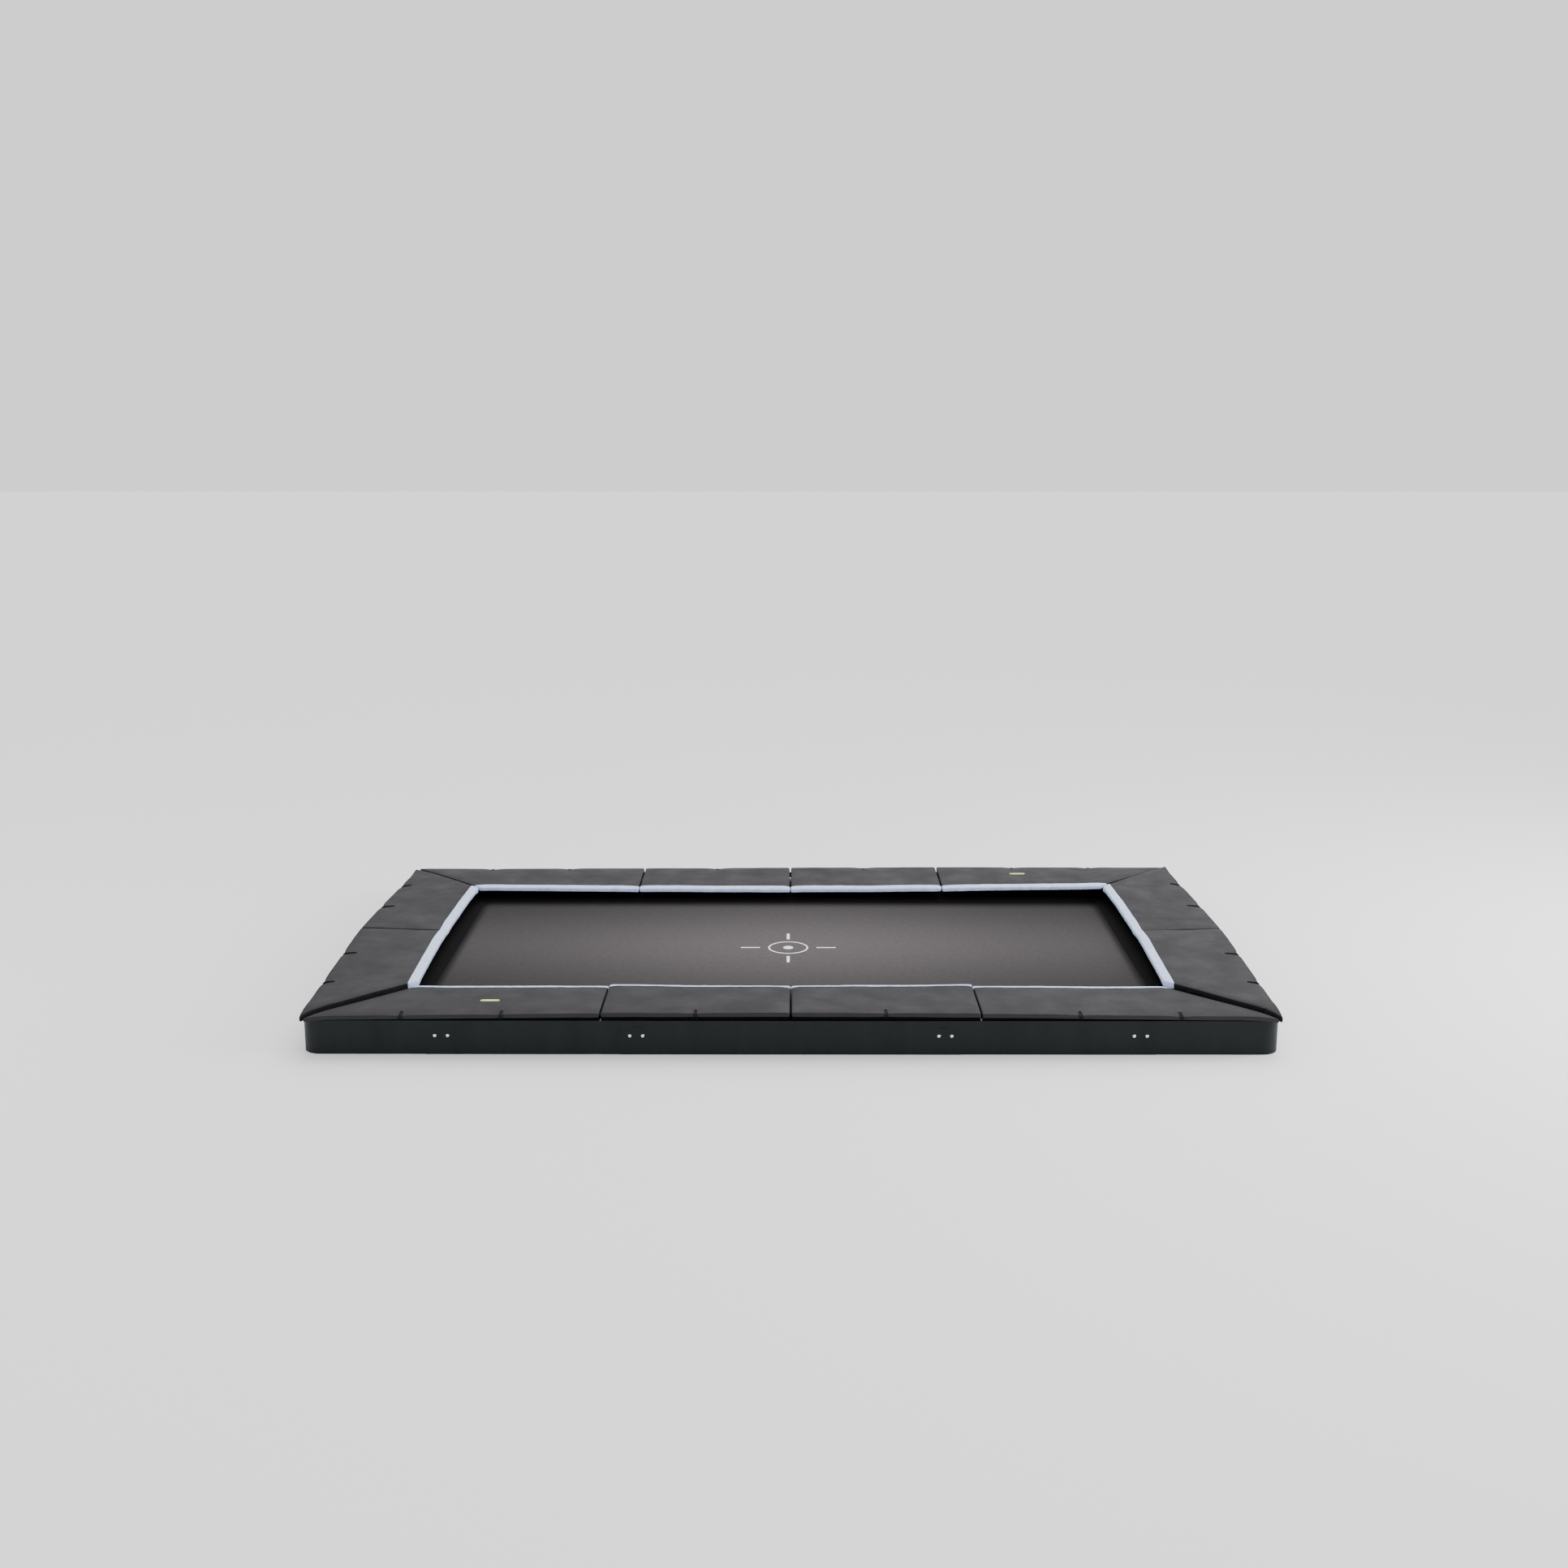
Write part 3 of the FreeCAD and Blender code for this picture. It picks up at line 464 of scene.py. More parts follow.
mesh_cloth, mesh_shader = new_finish("bed_mesh_cloth", (0.056, 0.051, 0.053), 0.8, specular=0.05)
mottle(mesh_cloth, mesh_shader, (0.0211, 0.0191, 0.0198), (0.0278, 0.0252, 0.0260), 30.0, detail=10.0)
threads = node_in(mesh_cloth, "ShaderNodeTexWave", Scale=95.0, Distortion=0.6)
threads.bands_direction = "X"
wefts = node_in(mesh_cloth, "ShaderNodeTexWave", Scale=95.0, Distortion=0.6)
wefts.bands_direction = "Y"
weave = node_in(mesh_cloth, "ShaderNodeMath")
weave.operation = "MULTIPLY"
for source, wave in enumerate((threads, wefts)):
    join(mesh_cloth, place_source(mesh_cloth), "Vector", wave, "Vector")
    mesh_cloth.node_tree.links.new(wave.outputs["Fac"], weave.inputs[source])
bump_from(mesh_cloth, mesh_shader, weave, "Value", 0.0005, strength=0.5)


def paint_margin_shade_and_middle_light(finish, shader, half_x, half_y, fade_x, fade_y, middle_light_x, middle_light_y, edge):
    """Paints shade by deepening the colour towards the margin, where the pads shade the bed, and paints light by
    lightening the middle.
    """
    base = shader.inputs["Base Color"].links[0].from_socket
    split = node_in(finish, "ShaderNodeSeparateXYZ")
    join(finish, place_source(finish), "Vector", split, "Vector")
    shares = []
    for axis, half, fade, middle_light in (("X", half_x, fade_x, middle_light_x), ("Y", half_y, fade_y, middle_light_y)):
        away = node_in(finish, "ShaderNodeMath")
        away.operation = "ABSOLUTE"
        join(finish, split, axis, away, 0)
        span = node_in(finish, "ShaderNodeMapRange")
        span.interpolation_type = "SMOOTHSTEP"
        span.inputs["From Min"].default_value = half - fade
        span.inputs["From Max"].default_value = half
        span.inputs["To Min"].default_value = 1.0
        span.inputs["To Max"].default_value = edge
        join(finish, away, "Value", span, "Value")
        shares.append(span)
        middle = node_in(finish, "ShaderNodeMapRange")
        middle.interpolation_type = "SMOOTHSTEP"
        middle.inputs["From Max"].default_value = half
        middle.inputs["To Min"].default_value = middle_light
        middle.inputs["To Max"].default_value = 1.0
        join(finish, away, "Value", middle, "Value")
        shares.append(middle)
    factor = shares[0].outputs["Result"]
    for share in shares[1:]:
        product = node_in(finish, "ShaderNodeMath")
        product.operation = "MULTIPLY"
        finish.node_tree.links.new(factor, product.inputs[0])
        join(finish, share, "Result", product, 1)
        factor = product.outputs["Value"]
    # Scales the colour: painted shade at the margin, painted light in the middle.
    light_and_shade_scale = node_in(finish, "ShaderNodeVectorMath")
    light_and_shade_scale.operation = "SCALE"
    finish.node_tree.links.new(base, light_and_shade_scale.inputs[0])
    finish.node_tree.links.new(factor, light_and_shade_scale.inputs["Scale"])
    join(finish, light_and_shade_scale, "Vector", shader, "Base Color")


BORDER = 0.275
# Painted shade darkens the bed towards its border band; painted light lightens its middle.
paint_margin_shade_and_middle_light(mesh_cloth, mesh_shader, BED_HALF_X - BORDER, BED_HALF_Y - BORDER, 0.06, 0.16,
              middle_light_x=1.7, middle_light_y=1.9, edge=0.12)

bed = rounded_sheet("bed_cloth", BED_HALF_X, BED_HALF_Y, BED_CORNER, (BED_LOW.z + BED_HIGH.z) / 2, CELL)
lay_bed(bed, 0.0005)
thicken(bed, 0.0012, 0)
bed.data.materials.append(mesh_cloth)
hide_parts("bed_fabric")
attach(bed, "bed")


# ---- Bed border ---------------------------------------------------------------------
# A wide band of doubled black webbing sewn round the bed's margin, with two lines of lockstitch along each edge.
# It is made wider than the webbing so that its black also stands for the pads' shade on the bed: partly webbing,
# partly painted shade.
# The band's black beyond the pads' inner edge is painted shade.
border = rounded_sheet("bed_border_and_painted_shade_band", BED_HALF_X, BED_HALF_Y, BED_CORNER, BED_HIGH.z, BORDER / 4)
inner_x, inner_y = BED_HALF_X - BORDER, BED_HALF_Y - BORDER
bpy.ops.object.mode_set(mode="EDIT")
for place, normal in (((inner_x, 0, 0), (1, 0, 0)), ((-inner_x, 0, 0), (1, 0, 0)),
                      ((0, inner_y, 0), (0, 1, 0)), ((0, -inner_y, 0), (0, 1, 0))):
    bpy.ops.mesh.select_all(action="SELECT")
    bpy.ops.mesh.bisect(plane_co=place, plane_no=normal)
bpy.ops.object.mode_set(mode="OBJECT")
pick_faces(border, lambda face: abs(face.center.x) < inner_x and abs(face.center.y) < inner_y)
bpy.ops.mesh.delete(type="FACE")
bpy.ops.object.mode_set(mode="OBJECT")
lay_bed(border, 0.0008)
thicken(border, 0.0012, 1)
border.data.materials.append(webbing)
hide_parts("bed_border")
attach(border, "bed")


# ---- Printed target -----------------------------------------------------------------
# A plain aiming mark screen-printed in white on the bed: a ring with a dot, and four
# dashes pointing at it.
PRINT_LEVEL = BED_HIGH.z - BED_DIP + 0.0006
PRINT_THICK = 0.0003
PRINT_PLACE = Vector((-0.014, -0.055, 0))
ink, ink_shader = new_finish("white_print", (0.82, 0.82, 0.83), 0.6, specular=0.3)
mottle(ink, ink_shader, (0.62, 0.61, 0.62), (0.9, 0.9, 0.91), 90.0, middle=0.42, spread=0.16)


def flat_ring(name, inner, outer, steps=64):
    bpy.ops.object.select_all(action="DESELECT")
    bpy.ops.mesh.primitive_circle_add(vertices=steps, radius=outer, fill_type="NGON",
                                      location=(0, 0, PRINT_LEVEL))
    piece = bpy.context.object
    piece.name = name
    bpy.ops.object.mode_set(mode="EDIT")
    bpy.ops.mesh.select_all(action="SELECT")
    if inner:
        bpy.ops.mesh.inset(thickness=outer - inner)
        bpy.ops.mesh.delete(type="FACE")
    bpy.ops.object.mode_set(mode="OBJECT")
    bpy.ops.object.transform_apply(location=True, rotation=True, scale=True)
    return piece


def dash(name, start, end, width, across):
    bpy.ops.object.select_all(action="DESELECT")
    bpy.ops.mesh.primitive_plane_add(size=1, location=((start + end) / 2, 0, PRINT_LEVEL))
    piece = bpy.context.object
    piece.name = name
    piece.scale = (end - start, width, 1)
    bpy.ops.object.transform_apply(location=True, rotation=True, scale=True)
    bpy.ops.object.mode_set(mode="EDIT")
    bpy.ops.mesh.select_all(action="SELECT")
    bpy.ops.mesh.bevel(affect="VERTICES", offset=0.002, segments=3)
    bpy.ops.object.mode_set(mode="OBJECT")
    piece.data.transform(Matrix.Rotation(across, 4, "Z"))
    return piece


marks = [flat_ring("target_ring", 0.112, 0.121), flat_ring("target_dot", 0, 0.030, 32)]
marks += [dash(f"target_dash_{i}", 0.172, 0.288, (0.012, 0.017)[i % 2], i * math.pi / 2) for i in range(4)]
for mark in marks:
    mark.data.transform(Matrix.Translation(PRINT_PLACE))
    thicken(mark, PRINT_THICK, 1)
    mark.data.materials.append(ink)
    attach(mark, "bed")


# ---- Safety pads --------------------------------------------------------------------
# Slabs of soft foam in covers sewn from charcoal PVC-coated polyester. The covers are a
# little slack, so the slabs crown, sag towards the bed and bow out along the short sides.
LOOP_STATIONS = {"front": (-2.06, -1.53, -0.503, 0.503, 1.53, 2.06), "right": (-1.02, -0.5, 0.5, 1.02),
                 "back": (-2.06, -1.53, -0.503, 0.503, 1.53, 2.06), "left": (-1.02, -0.5, 0.5, 1.02)}
PAD_TOPS = {
    "pad_front_corner_left": (0.209, 0.226, 0.204, 0.205),
    "pad_front_middle_left": (0.228, 0.230, 0.214, 0.205),
    "pad_front_middle_right": (0.230, 0.228, 0.205, 0.216),
    "pad_front_corner_right": (0.226, 0.209, 0.205, 0.203),
    "pad_right_front": (0.230, 0.240, 0.234, 0.226),
    "pad_right_back": (0.239, 0.234, 0.224, 0.245),
    "pad_back_corner_right": (0.221, 0.224, 0.245, 0.222),
    "pad_back_middle_right": (0.224, 0.219, 0.221, 0.213),
    "pad_back_middle_left": (0.219, 0.214, 0.213, 0.217),
    "pad_back_corner_left": (0.214, 0.208, 0.217, 0.226),
    "pad_left_back": (0.210, 0.239, 0.226, 0.222),
    "pad_left_front": (0.240, 0.228, 0.224, 0.231),
}
PAD_OVERHANG = 0.003
PAD_WIDTHS = {"front": 0.538, "back": 0.538, "right": 0.535, "left": 0.535}
PAD_EDGE = 0.023
TIP_DEPTH, TIP_REACH = {"front": 0.014, "back": 0.0, "right": 0.032, "left": 0.032}, 0.17
PAD_LAYERS = 3
PAD_CELL = 0.026
PAD_INSET = 0.003
SEAM_INSET = 0.0015
MITRE_FLARE = 0.010
HEM = 0.070
STRIP = 0.050
WALL_TOP, WALL_BEND = 0.1885, 0.105
INNER_DROOP, INNER_DROOP_WIDTH = 0.004, 0.08
SWELL = 0.007
BOW = ((-1.52, -1.35, -0.95, -0.55, -0.2, 0.15, 0.6, 1.0, 1.3, 1.52),
       (0.0, -0.007, 0.003, 0.015, 0.026, 0.026, 0.018, 0.004, -0.003, 0.0))


def plan_of(node):
    """A pad's side, its two ends along that side, and how each end is mitred."""
    side = node.split("_")[1]
    low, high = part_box(node)
    ends = {"front": (low.x, high.x), "right": (low.y, high.y),
            "back": (-high.x, -low.x), "left": (-high.y, -low.y)}[side]
    reach = (HALF_LENGTH if side in ("front", "back") else HALF_WIDTH) - PAD_INSET
    across = PAD_WIDTHS["right" if side in ("front", "back") else "front"]
    slope = across / PAD_WIDTHS[side]
    return side, ends, [slope if abs(end) > reach else 0 for end in ends]


def spaced(start, end, cell):
    count = max(1, round(abs(end - start) / cell))
    return [start + (end - start) * i / count for i in range(count + 1)]


def pad_slab(node):
    """A flat slab in the side's own axes: along, inwards from its outer edge, up."""
    side, ends, mitres = plan_of(node)
    width = PAD_WIDTHS[side]
    rows = spaced(PAD_INSET, width - STRIP, PAD_CELL) + spaced(width - STRIP, width - PAD_INSET, 0.016)[1:]
    insets = [SEAM_INSET if not mitre else PAD_INSET for mitre in mitres]
    flares = [MITRE_FLARE if mitre and side in ("front", "back") else 0 for mitre in mitres]
    hem_first = mitres[1] != 0
    hems = [0, 0.012, 0.035, HEM]
    length = ends[1] - ends[0] - HEM
    shares = [i / round(length / PAD_CELL) for i in range(round(length / PAD_CELL) + 1)]
    bpy.ops.object.select_all(action="DESELECT")
    bpy.ops.mesh.primitive_grid_add(x_subdivisions=len(shares) + len(hems) - 2,
                                    y_subdivisions=len(rows) - 1, size=1)
    pad = bpy.context.object
    pad.name = node.replace("pad", "cover")
    columns = len(shares) + len(hems) - 2
    for vertex in pad.data.vertices:
        inward = rows[round((vertex.co.y + 0.5) * (len(rows) - 1))]
        outwards = 1 - inward / width
        start = ends[0] + insets[0] + mitres[0] * inward + flares[0] * outwards
        end = ends[1] - insets[1] - mitres[1] * inward - flares[1] * outwards
        column = round((vertex.co.x + 0.5) * columns)
        if not hem_first:
            start, end, column = end, start, columns - column
        step = math.copysign(1, end - start)
        if column < len(hems):
            along = start + step * hems[column]
        else:
            along = start + step * HEM + (end - start - step * HEM) * shares[column - len(hems) + 1]
        vertex.co = (along, inward, 0)
    bpy.ops.object.mode_set(mode="EDIT")
    bpy.ops.mesh.select_all(action="SELECT")
    for layer in range(PAD_LAYERS):
        bpy.ops.mesh.extrude_region_move(TRANSFORM_OT_translate={"value": (0, 0, PAD_EDGE / PAD_LAYERS)})
    bpy.ops.mesh.select_all(action="SELECT")
    bpy.ops.mesh.normals_make_consistent(inside=False)
    bpy.ops.object.mode_set(mode="OBJECT")
    for name, axis in (("along", 0), ("inward", 1), ("level", 2)):
        attribute = pad.data.attributes.new(name, "FLOAT", "POINT")
        attribute.data.foreach_set("value", [vertex.co[axis] for vertex in pad.data.vertices])
    return pad


def positions(piece):
    places = np.empty(3 * len(piece.data.vertices), np.float32)
    piece.data.vertices.foreach_get("co", places)
    return places.reshape(-1, 3)


def swell_covers(pads):
    """Air pressure rounds the flat slabs out inside their covers, by at most SWELL."""
    flat = [positions(pad) for pad in pads]
    for pad in pads:
        cloth = pad.modifiers.new("cover", "CLOTH")
        cloth.settings.quality = 4
        cloth.settings.use_pressure = True
        cloth.settings.uniform_pressure_force = 4
        cloth.settings.effector_weights.gravity = 0
        cloth.point_cache.frame_start = 1
        cloth.point_cache.frame_end = 20
    for frame_number in range(1, 21):
        bpy.context.scene.frame_set(frame_number)
    for pad, rest in zip(pads, flat):
        bpy.ops.object.select_all(action="DESELECT")
        pad.select_set(True)
        bpy.context.view_layer.objects.active = pad
        bpy.ops.object.modifier_apply(modifier="cover")
        moved = positions(pad) - rest
        far = np.linalg.norm(moved, axis=1, keepdims=True)
        moved *= np.minimum(1, SWELL / np.maximum(far, 1e-9))
        moved[:, 0] = np.clip(moved[:, 0], -SEAM_INSET, SEAM_INSET)
        moved[:, 1] = np.clip(moved[:, 1], -PAD_INSET, PAD_INSET)
        swollen = rest + moved
        swollen[:, 2] = np.maximum(swollen[:, 2], -0.0005)
        pad.data.vertices.foreach_set("co", swollen.ravel())
    bpy.context.scene.frame_set(1)


def top_of_pad(node, along, inward):
    side, ends, mitres = plan_of(node)
    outer_start, outer_end, inner_start, inner_end = PAD_TOPS[node]
    share = (along - ends[0]) / (ends[1] - ends[0])
    depth = inward / PAD_WIDTHS[side]
    outer = outer_start + (outer_end - outer_start) * share
    inner = inner_start + (inner_end - inner_start) * share
    return outer + (inner - outer) * depth


def settle_pad(pad, node):
    """Puts a slab in place: its slope, the sag between supports, the bow and the loops' pull."""
    side = plan_of(node)[0]
    short = side in ("right", "left")
    place = side_matrix(side)
    for vertex in pad.data.vertices:
        along, inward, level = vertex.co
        top = top_of_pad(node, along, inward) - PAD_EDGE
        slack = 1.6 if short else 1.0
        ripple = slack * 0.0022 * noise.noise(Vector((along * 2.7, inward * 3.1, len(node))))
        ripple += slack * 0.0009 * noise.noise(Vector((along * 9, inward * 7, 5.0 + len(node))))
        loop = min(abs(along - station) for station in LOOP_STATIONS[side])
        pull = math.exp(-(loop / 0.045) ** 2) * math.exp(-(inward / 0.05) ** 2)
        lift = level / PAD_EDGE
        droop = max(0.0, inward - PAD_WIDTHS[side] + INNER_DROOP_WIDTH) / INNER_DROOP_WIDTH
        height = top + level + ripple - 0.005 * pull * lift - INNER_DROOP * droop ** 2
        bow = 0.0
        across = along if side in ("front", "right") else -along
        from_tip = math.hypot(across + HALF_WIDTH if short else HALF_LENGTH - abs(across), inward)
        height -= TIP_DEPTH[side] * max(0.0, 1 - from_tip / TIP_REACH) ** 2
        if short:
            bow = float(np.interp(across, *BOW))
            height -= 0.010 * (1 - lift) * max(0.0, 1 - (abs(across) - HALF_WIDTH + inward) ** 2 / 0.01)
        if inward < 0.06 and (HALF_WIDTH if short else HALF_LENGTH) - abs(along) > WALL_BEND:
            height = max(height, WALL_TOP + 0.35 * level)
        outer_edge = inward - PAD_OVERHANG - bow + (0.007 if short else 0.004) * pull
        vertex.co = place @ Vector((along, outer_edge, height))
    pad.data.update()


cover_cloth, cover_shader = new_finish("charcoal_cover", (0.036, 0.0355, 0.039), 0.62, specular=0.04)
mottle(cover_cloth, cover_shader, (0.0237, 0.0232, 0.026), (0.0308, 0.0303, 0.0335), 4.5, detail=9.0)
cover_threads = node_in(cover_cloth, "ShaderNodeTexWave", Scale=150.0, Distortion=0.8)
cover_wefts = node_in(cover_cloth, "ShaderNodeTexWave", Scale=150.0, Distortion=0.8)
cover_wefts.bands_direction = "Y"
cover_weave = node_in(cover_cloth, "ShaderNodeMath")
cover_weave.operation = "MULTIPLY"
for slot, wave in enumerate((cover_threads, cover_wefts)):
    join(cover_cloth, place_source(cover_cloth), "Vector", wave, "Vector")
    cover_cloth.node_tree.links.new(wave.outputs["Fac"], cover_weave.inputs[slot])
weave_bump = bump_from(cover_cloth, cover_shader, cover_weave, "Value", 0.0004, strength=0.35)
noise_bump(cover_cloth, cover_shader, 16.0, 0.0025, strength=0.35, below=weave_bump)
roughen(cover_cloth, cover_shader, 0.52, 0.7, 6.0)

under_cloth, under_shader = new_finish("black_underside", (0.010, 0.010, 0.011), 0.75, specular=0.05)
mottle(under_cloth, under_shader, (0.007, 0.007, 0.008), (0.014, 0.014, 0.015), 30.0)
noise_bump(under_cloth, under_shader, 500.0, 0.0004)


def line_underside(pad, node):
    """The cover's underside and its mitred ends are of black mesh cloth."""
    side, ends, mitres = plan_of(node)
    level = np.array([value.value for value in pad.data.attributes["level"].data])
    along_side = side_matrix(side).to_3x3() @ Vector((1, 0, 0))
    for face in pad.data.polygons:
        lean = face.normal.dot(along_side)
        mitred_end = (lean > 0.4 and mitres[1]) or (lean < -0.4 and mitres[0])
        if level[list(face.vertices)].max() < 1e-4 or mitred_end:
            face.material_index = 1


pads = {node: pad_slab(node) for node in PAD_TOPS}
swell_covers(list(pads.values()))
for node, pad in pads.items():
    settle_pad(pad, node)
    bpy.ops.object.select_all(action="DESELECT")
    pad.select_set(True)
    bpy.context.view_layer.objects.active = pad
    finer = pad.modifiers.new("finer", "SUBSURF")
    finer.levels = finer.render_levels = 1
    bpy.ops.object.modifier_apply(modifier=finer.name)
    bpy.ops.object.shade_smooth()
    pad.data.materials.append(cover_cloth)
    pad.data.materials.append(under_cloth)
    line_underside(pad, node)
    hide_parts(node)
    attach(pad, node)


# ---- Pale inner strips --------------------------------------------------------------
# A band of pale blue-grey coated cloth sewn over each pad's inner edge, slightly crinkled
# where it turns down over the foam.
STRIP_PROUD = 0.0012
STRIP_CLOTH = 0.0008


def values_of(piece, name):
    found = np.empty(len(piece.data.vertices), np.float32)
    piece.data.attributes[name].data.foreach_get("value", found)
    return found


def cloth_on(pad, name, wanted, proud, thickness, crinkle):
    """A sheet lying on the part of a pad's cover whose faces are wanted(along, inward, level)."""
    sheet = pad.copy()
    sheet.data = pad.data.copy()
    sheet.name = name
    for key in list(sheet.keys()):
        del sheet[key]
    sheet.parent = None
    bpy.context.collection.objects.link(sheet)
    along, inward, level = (values_of(sheet, key) for key in ("along", "inward", "level"))

    def bare(face):
        corners = list(face.vertices)
        return not wanted(along[corners], inward[corners], level[corners])

    pick_faces(sheet, bare)
    bpy.ops.mesh.delete(type="FACE")
    bpy.ops.mesh.select_all(action="SELECT")
    bpy.ops.mesh.subdivide(number_cuts=1)
    bpy.ops.object.mode_set(mode="OBJECT")
    for vertex in sheet.data.vertices:
        fold = noise.noise(vertex.co * 28) + 0.6 * noise.noise(vertex.co * 61)
        vertex.co += vertex.normal * (proud + crinkle * fold)
    solid = sheet.modifiers.new("thickness", "SOLIDIFY")
    solid.thickness = thickness
    solid.offset = 1
    bpy.ops.object.modifier_apply(modifier=solid.name)
    sheet.data.materials.clear()
    sheet.data.polygons.foreach_set("material_index", [0] * len(sheet.data.polygons))
    return sheet


strip_cloth, strip_shader = new_finish("pale_strip", (0.6, 0.66, 0.8), 0.55, specular=0.3)
mottle(strip_cloth, strip_shader, (0.33, 0.41, 0.62), (0.58, 0.67, 0.93), 22.0, detail=8.0)
noise_bump(strip_cloth, strip_shader, 55.0, 0.0015, strength=0.6)

for node, pad in pads.items():
    side = plan_of(node)[0]
    edge = PAD_WIDTHS[side] - STRIP
    strip = cloth_on(pad, node.replace("pad", "strip"),
                     lambda along, inward, level: inward.min() > edge - 1e-4 and level.max() > 1e-4,
                     STRIP_PROUD, STRIP_CLOTH, 0.0006)
    strip.data.materials.append(strip_cloth)
    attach(strip, node)


# ---- Hem of the left back pad -------------------------------------------------------
# The cover's end on the left side is turned over into a wide doubled hem beside the seam.
hem_node = "pad_left_back"
hem_end = plan_of(hem_node)[1][1] - PAD_INSET
hem = cloth_on(pads[hem_node], "cover_left_hem",
               lambda along, inward, level: (along.min() > hem_end - HEM - 1e-4 and level.min() > PAD_EDGE - 1e-4
                                             and inward.max() < PAD_WIDTHS["left"] - STRIP + 1e-4),
               0.0008, 0.0010, 0.0002)
hem.data.materials.append(cover_cloth)
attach(hem, hem_node)


# ---- Welts and skirts ---------------------------------------------------------------
# A piped welt runs along the top seam of each pad's outer edge. Under that edge hangs a
# short black flap that closes the slit over the wall; its black stands for the shade in that gap, painted shade.
WELT_RADIUS = 0.0016
SKIRT_INWARD, SKIRT_FOOT = 0.016, 0.163
dark_welt, welt_shader = new_finish("dark_welt", (0.02, 0.02, 0.022), 0.6, specular=0.12)
mottle(dark_welt, welt_shader, (0.016, 0.016, 0.018), (0.027, 0.027, 0.030), 40.0)
noise_bump(dark_welt, welt_shader, 400.0, 0.0004)
for node, pad in pads.items():
    side, ends, mitres = plan_of(node)
    places = positions(pad)
    along, inward, level = (values_of(pad, key) for key in ("along", "inward", "level"))
    edge = np.flatnonzero((inward < PAD_INSET + 1e-4) & (level > PAD_EDGE - 1e-4))
    edge = edge[np.argsort(along[edge])]
    out = side_matrix(side).to_3x3() @ Vector((0, -0.0005, 0.0003))
    line = [Vector(places[i].tolist()) + out for i in edge]
    welt = tube_along(node.replace("pad", "welt"), line, WELT_RADIUS, sides=6)
    welt.data.materials.append(dark_welt)
    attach(welt, node)
    clear = 0.08 if max(mitres) else 0.004
    starts = [ends[0] + (clear if mitres[0] else 0.004), ends[1] - (clear if mitres[1] else 0.004)]
    # The flap's black fills the gap between the pad and the wall as painted shade.
    bpy.ops.object.select_all(action="DESELECT")
    bpy.ops.mesh.primitive_grid_add(x_subdivisions=60, y_subdivisions=2, size=1)
    skirt = bpy.context.object
    skirt.name = node.replace("pad", "skirt")
    for vertex in skirt.data.vertices:
        station = starts[0] + (starts[1] - starts[0]) * (vertex.co.x + 0.5)
        wave = 0.0012 * noise.noise(Vector((station * 9, 0, len(node))))
        head = max(top_of_pad(node, station, SKIRT_INWARD) - PAD_EDGE, WALL_TOP) + 0.003
        height = SKIRT_FOOT + (head - SKIRT_FOOT) * (vertex.co.y + 0.5)
        vertex.co = side_matrix(side) @ Vector((station, SKIRT_INWARD + wave, height))
    thicken(skirt, 0.0008, 0)
    skirt.data.materials.append(webbing)
    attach(skirt, node)


# ---- Elastic loops ------------------------------------------------------------------
# Loops of black shock cord that run from behind the wall, over its top edge and up round
# the pad's outer edge to a small eyelet, and hold the pad down as a hinge.
LOOP_RADIUS = 0.0027
EYELET_INWARD = 0.072
cord_black, cord_shader = new_finish("black_shock_cord", (0.005, 0.005, 0.0055), 0.8, specular=0.08)
braid = node_in(cord_black, "ShaderNodeTexVoronoi", Scale=620.0)
join(cord_black, place_source(cord_black), "Vector", braid, "Vector")
bump_from(cord_black, cord_shader, braid, "Distance", 0.0006, strength=0.7)
mottle(cord_black, cord_shader, (0.003, 0.003, 0.0035), (0.009, 0.009, 0.0095), 300.0)


def pad_surface(pad, place, from_above=True):
    """The height of the pad's cover over or under a place."""
    start, heading = (0.6, -1) if from_above else (-0.2, 1)
    hit, spot, *_ = pad.ray_cast(Vector((place.x, place.y, start)), Vector((0, 0, heading)))
    return spot.z if hit else None


def at_side(side, along, inward, height=0.0):
    return side_matrix(side) @ Vector((along, inward, height))


def pad_at(side, along):
    for node, pad in pads.items():
        own_side, ends, _ = plan_of(node)
        if own_side == side and ends[0] < along < ends[1]:
            return node, pad


def outermost(pad, side, along):
    """How far inwards the pad's outer face begins, at mid-height, at a station."""
    middle = pad_surface(pad, at_side(side, along, 0.02)) - PAD_EDGE / 2
    start = at_side(side, along, -0.2, middle)
    heading = at_side(side, along, 1, middle) - at_side(side, along, 0, middle)
    hit, spot, *_ = pad.ray_cast(start, heading)
    return (spot - start).length - 0.2


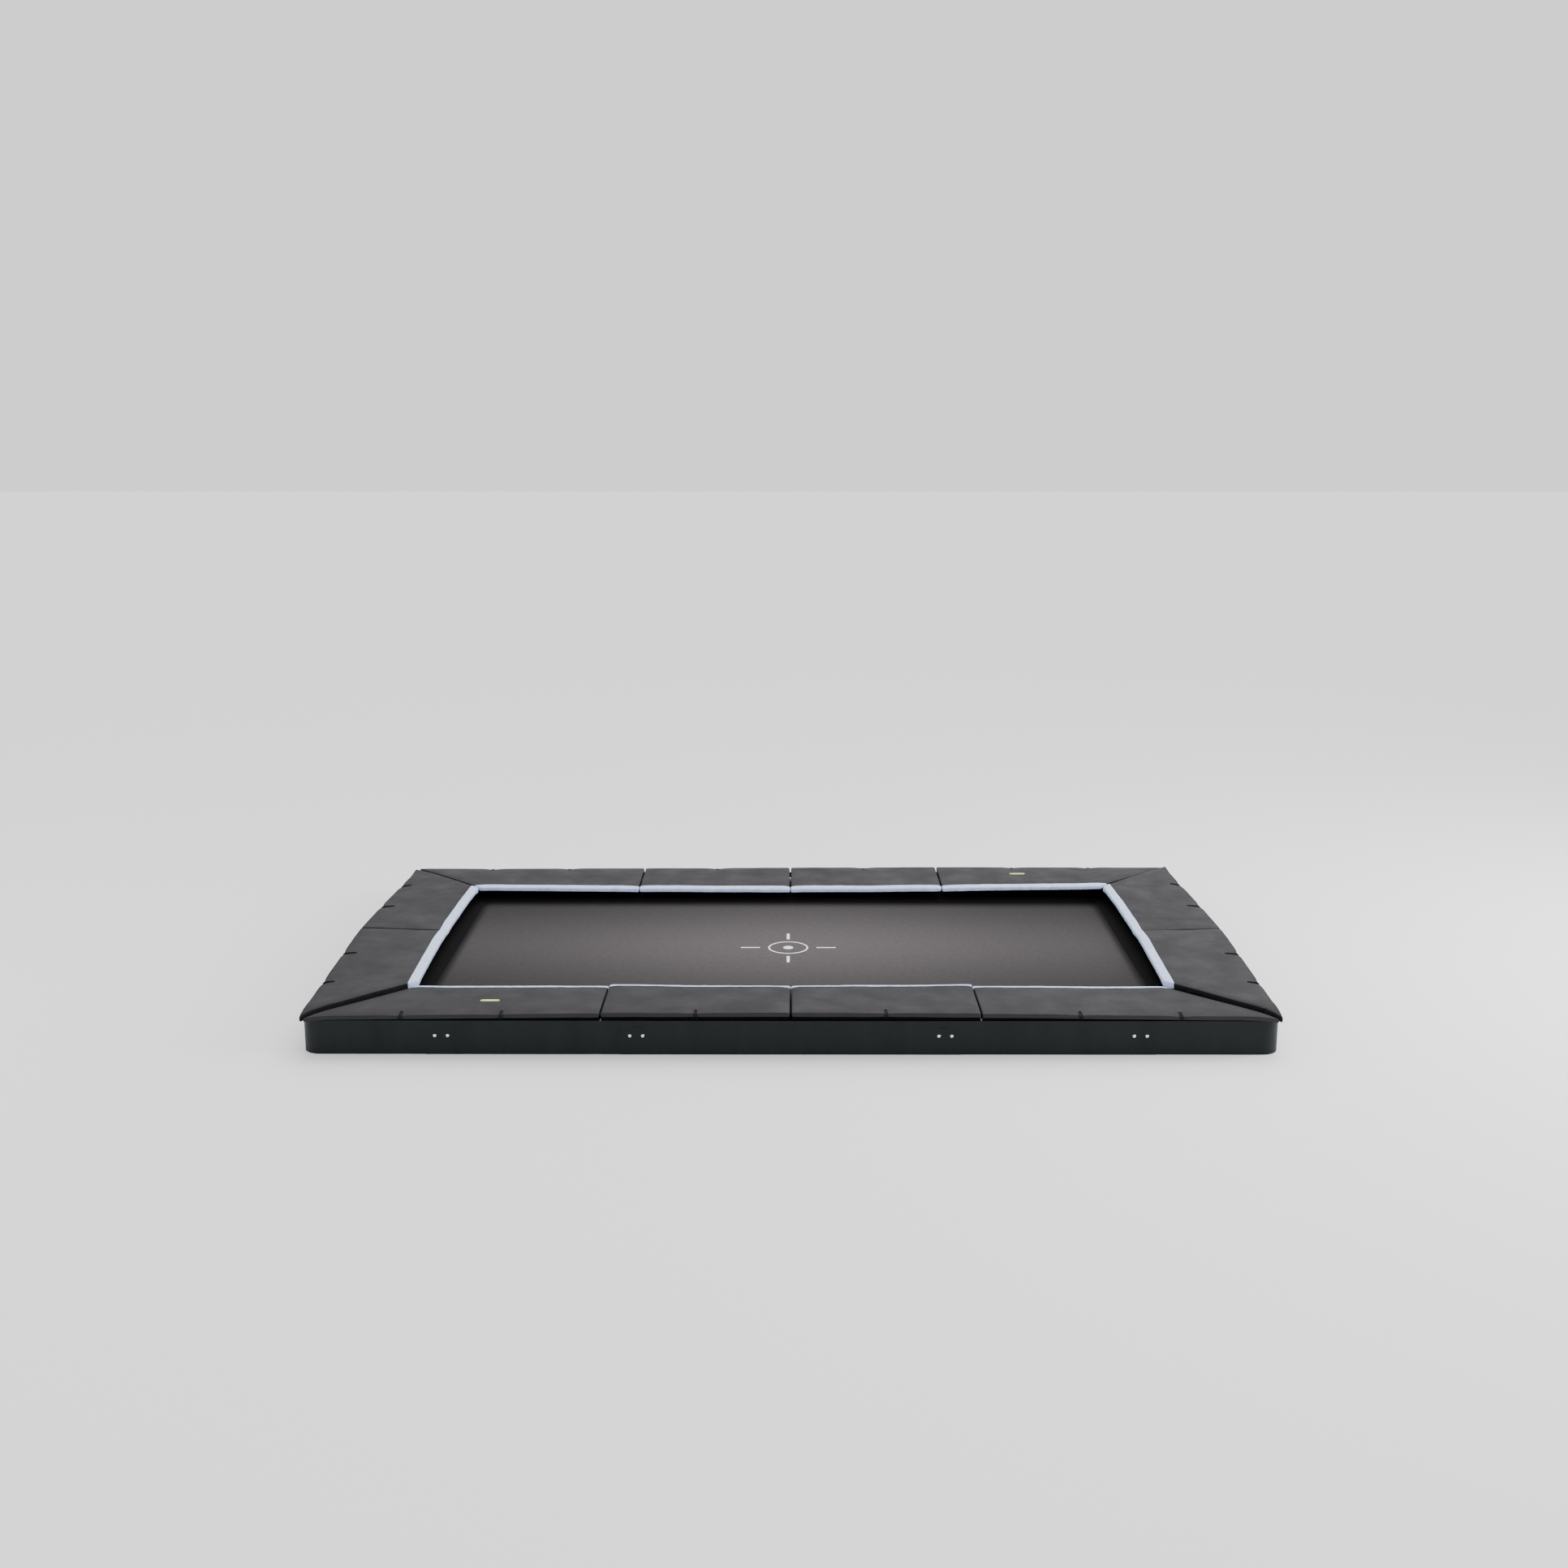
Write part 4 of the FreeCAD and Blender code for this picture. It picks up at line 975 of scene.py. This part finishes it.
def loop_line(side, along, pad):
    """One side of the loop from its tail to the eyelet, then back down the other side."""
    face = outermost(pad, side, along) - LOOP_RADIUS
    eyelet_top = pad_surface(pad, at_side(side, along, EYELET_INWARD)) + LOOP_RADIUS * 0.6
    middle_top = pad_surface(pad, at_side(side, along, EYELET_INWARD - 0.03)) + LOOP_RADIUS
    edge_top = pad_surface(pad, at_side(side, along, face + 0.012)) + LOOP_RADIUS
    under = pad_surface(pad, at_side(side, along, 0.012), from_above=False) - LOOP_RADIUS
    half = [(0.008, 0.013, 0.125), (0.008, 0.013, under - 0.012), (0.008, 0.012, under),
            (0.007, face + 0.004, under), (0.007, face, under + 0.004), (0.006, face, edge_top - 0.006),
            (0.0055, face + 0.006, edge_top), (0.0045, EYELET_INWARD - 0.03, middle_top),
            (0.0035, EYELET_INWARD - 0.004, eyelet_top), (0.0028, EYELET_INWARD, eyelet_top - 0.005)]
    line = [(-spread, inward, height) for spread, inward, height in half]
    line += [(spread, inward, height) for spread, inward, height in reversed(half)]
    return [at_side(side, along + spread, inward, height) for spread, inward, height in line]


for side, stations in LOOP_STATIONS.items():
    for number, along in enumerate(stations):
        node, pad = pad_at(side, along)
        loop = tube_along(f"elastic_loop_{side}_{number + 1}", loop_line(side, along, pad), LOOP_RADIUS,
                          sides=8, kind="NURBS")
        loop.data.materials.append(cord_black)
        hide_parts("pad_loops")
        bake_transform(loop)


# ---- Eyelets ------------------------------------------------------------------------
# Rolled black-plated brass eyelets set in the covers where the loops end.
plated, plated_shader = new_finish("black_plating", (0.03, 0.03, 0.032), 0.35, metallic=0.8)
mottle(plated, plated_shader, (0.02, 0.02, 0.022), (0.05, 0.05, 0.053), 120.0)
roughen(plated, plated_shader, 0.25, 0.5, 90.0)
for side, stations in LOOP_STATIONS.items():
    for number, along in enumerate(stations):
        node, pad = pad_at(side, along)
        spot = at_side(side, along, EYELET_INWARD)
        bpy.ops.object.select_all(action="DESELECT")
        bpy.ops.mesh.primitive_torus_add(major_segments=20, minor_segments=8, major_radius=0.0062,
                                         minor_radius=0.0018, location=(0, 0, 0))
        eyelet = bpy.context.object
        eyelet.name = f"eyelet_{side}_{number + 1}"
        for vertex in eyelet.data.vertices:
            vertex.co.z *= 0.7
            ground = pad_surface(pad, spot + vertex.co)
            vertex.co = spot + Vector((vertex.co.x, vertex.co.y, ground + vertex.co.z))
        bpy.ops.object.shade_smooth()
        eyelet.data.materials.append(plated)
        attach(eyelet, node)


# ---- Name tabs ----------------------------------------------------------------------
# Small moulded lime-green tabs with a plain white bar, welded to two of the covers.
def pill_on(pad, name, middle, long, wide, proud, thickness):
    """A flat tab with round ends that follows the pad's surface."""
    bpy.ops.object.select_all(action="DESELECT")
    bpy.ops.mesh.primitive_plane_add(size=1, location=(0, 0, 0))
    tab = bpy.context.object
    tab.name = name
    tab.scale = (long, wide, 1)
    bpy.ops.object.transform_apply(location=True, rotation=True, scale=True)
    bpy.ops.object.mode_set(mode="EDIT")
    bpy.ops.mesh.select_all(action="SELECT")
    bpy.ops.mesh.bevel(affect="VERTICES", offset=wide * 0.49, segments=6)
    bpy.ops.mesh.select_all(action="SELECT")
    for share in (-0.35, -0.2, -0.07, 0.07, 0.2, 0.35):
        bpy.ops.mesh.bisect(plane_co=(share * long, 0, 0), plane_no=(1, 0, 0))
        bpy.ops.mesh.select_all(action="SELECT")
    bpy.ops.object.mode_set(mode="OBJECT")
    for vertex in tab.data.vertices:
        spot = Vector((*middle, 0)) + vertex.co
        vertex.co = (spot.x, spot.y, pad_surface(pad, spot) + proud)
    thicken(tab, thickness, 1)
    return tab


lime, lime_shader = new_finish("lime_tab", (0.33, 0.5, 0.02), 0.4)
mottle(lime, lime_shader, (0.28, 0.44, 0.015), (0.38, 0.56, 0.03), 60.0)
tab_white, tab_white_shader = new_finish("white_tab_bar", (0.8, 0.82, 0.8), 0.45)
mottle(tab_white, tab_white_shader, (0.7, 0.72, 0.7), (0.86, 0.88, 0.86), 80.0)
for node, middle in (("pad_front_corner_left", (-1.621, -1.293)), ("pad_back_corner_right", (1.545, 1.302))):
    for name, long, wide, proud, finish in (("tab", 0.104, 0.032, 0.0006, lime),
                                            ("tab_bar", 0.056, 0.008, 0.0018, tab_white)):
        tab = pill_on(pads[node], node.replace("pad", name), middle, long, wide, proud, 0.0012)
        tab.data.materials.append(finish)
        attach(tab, node)
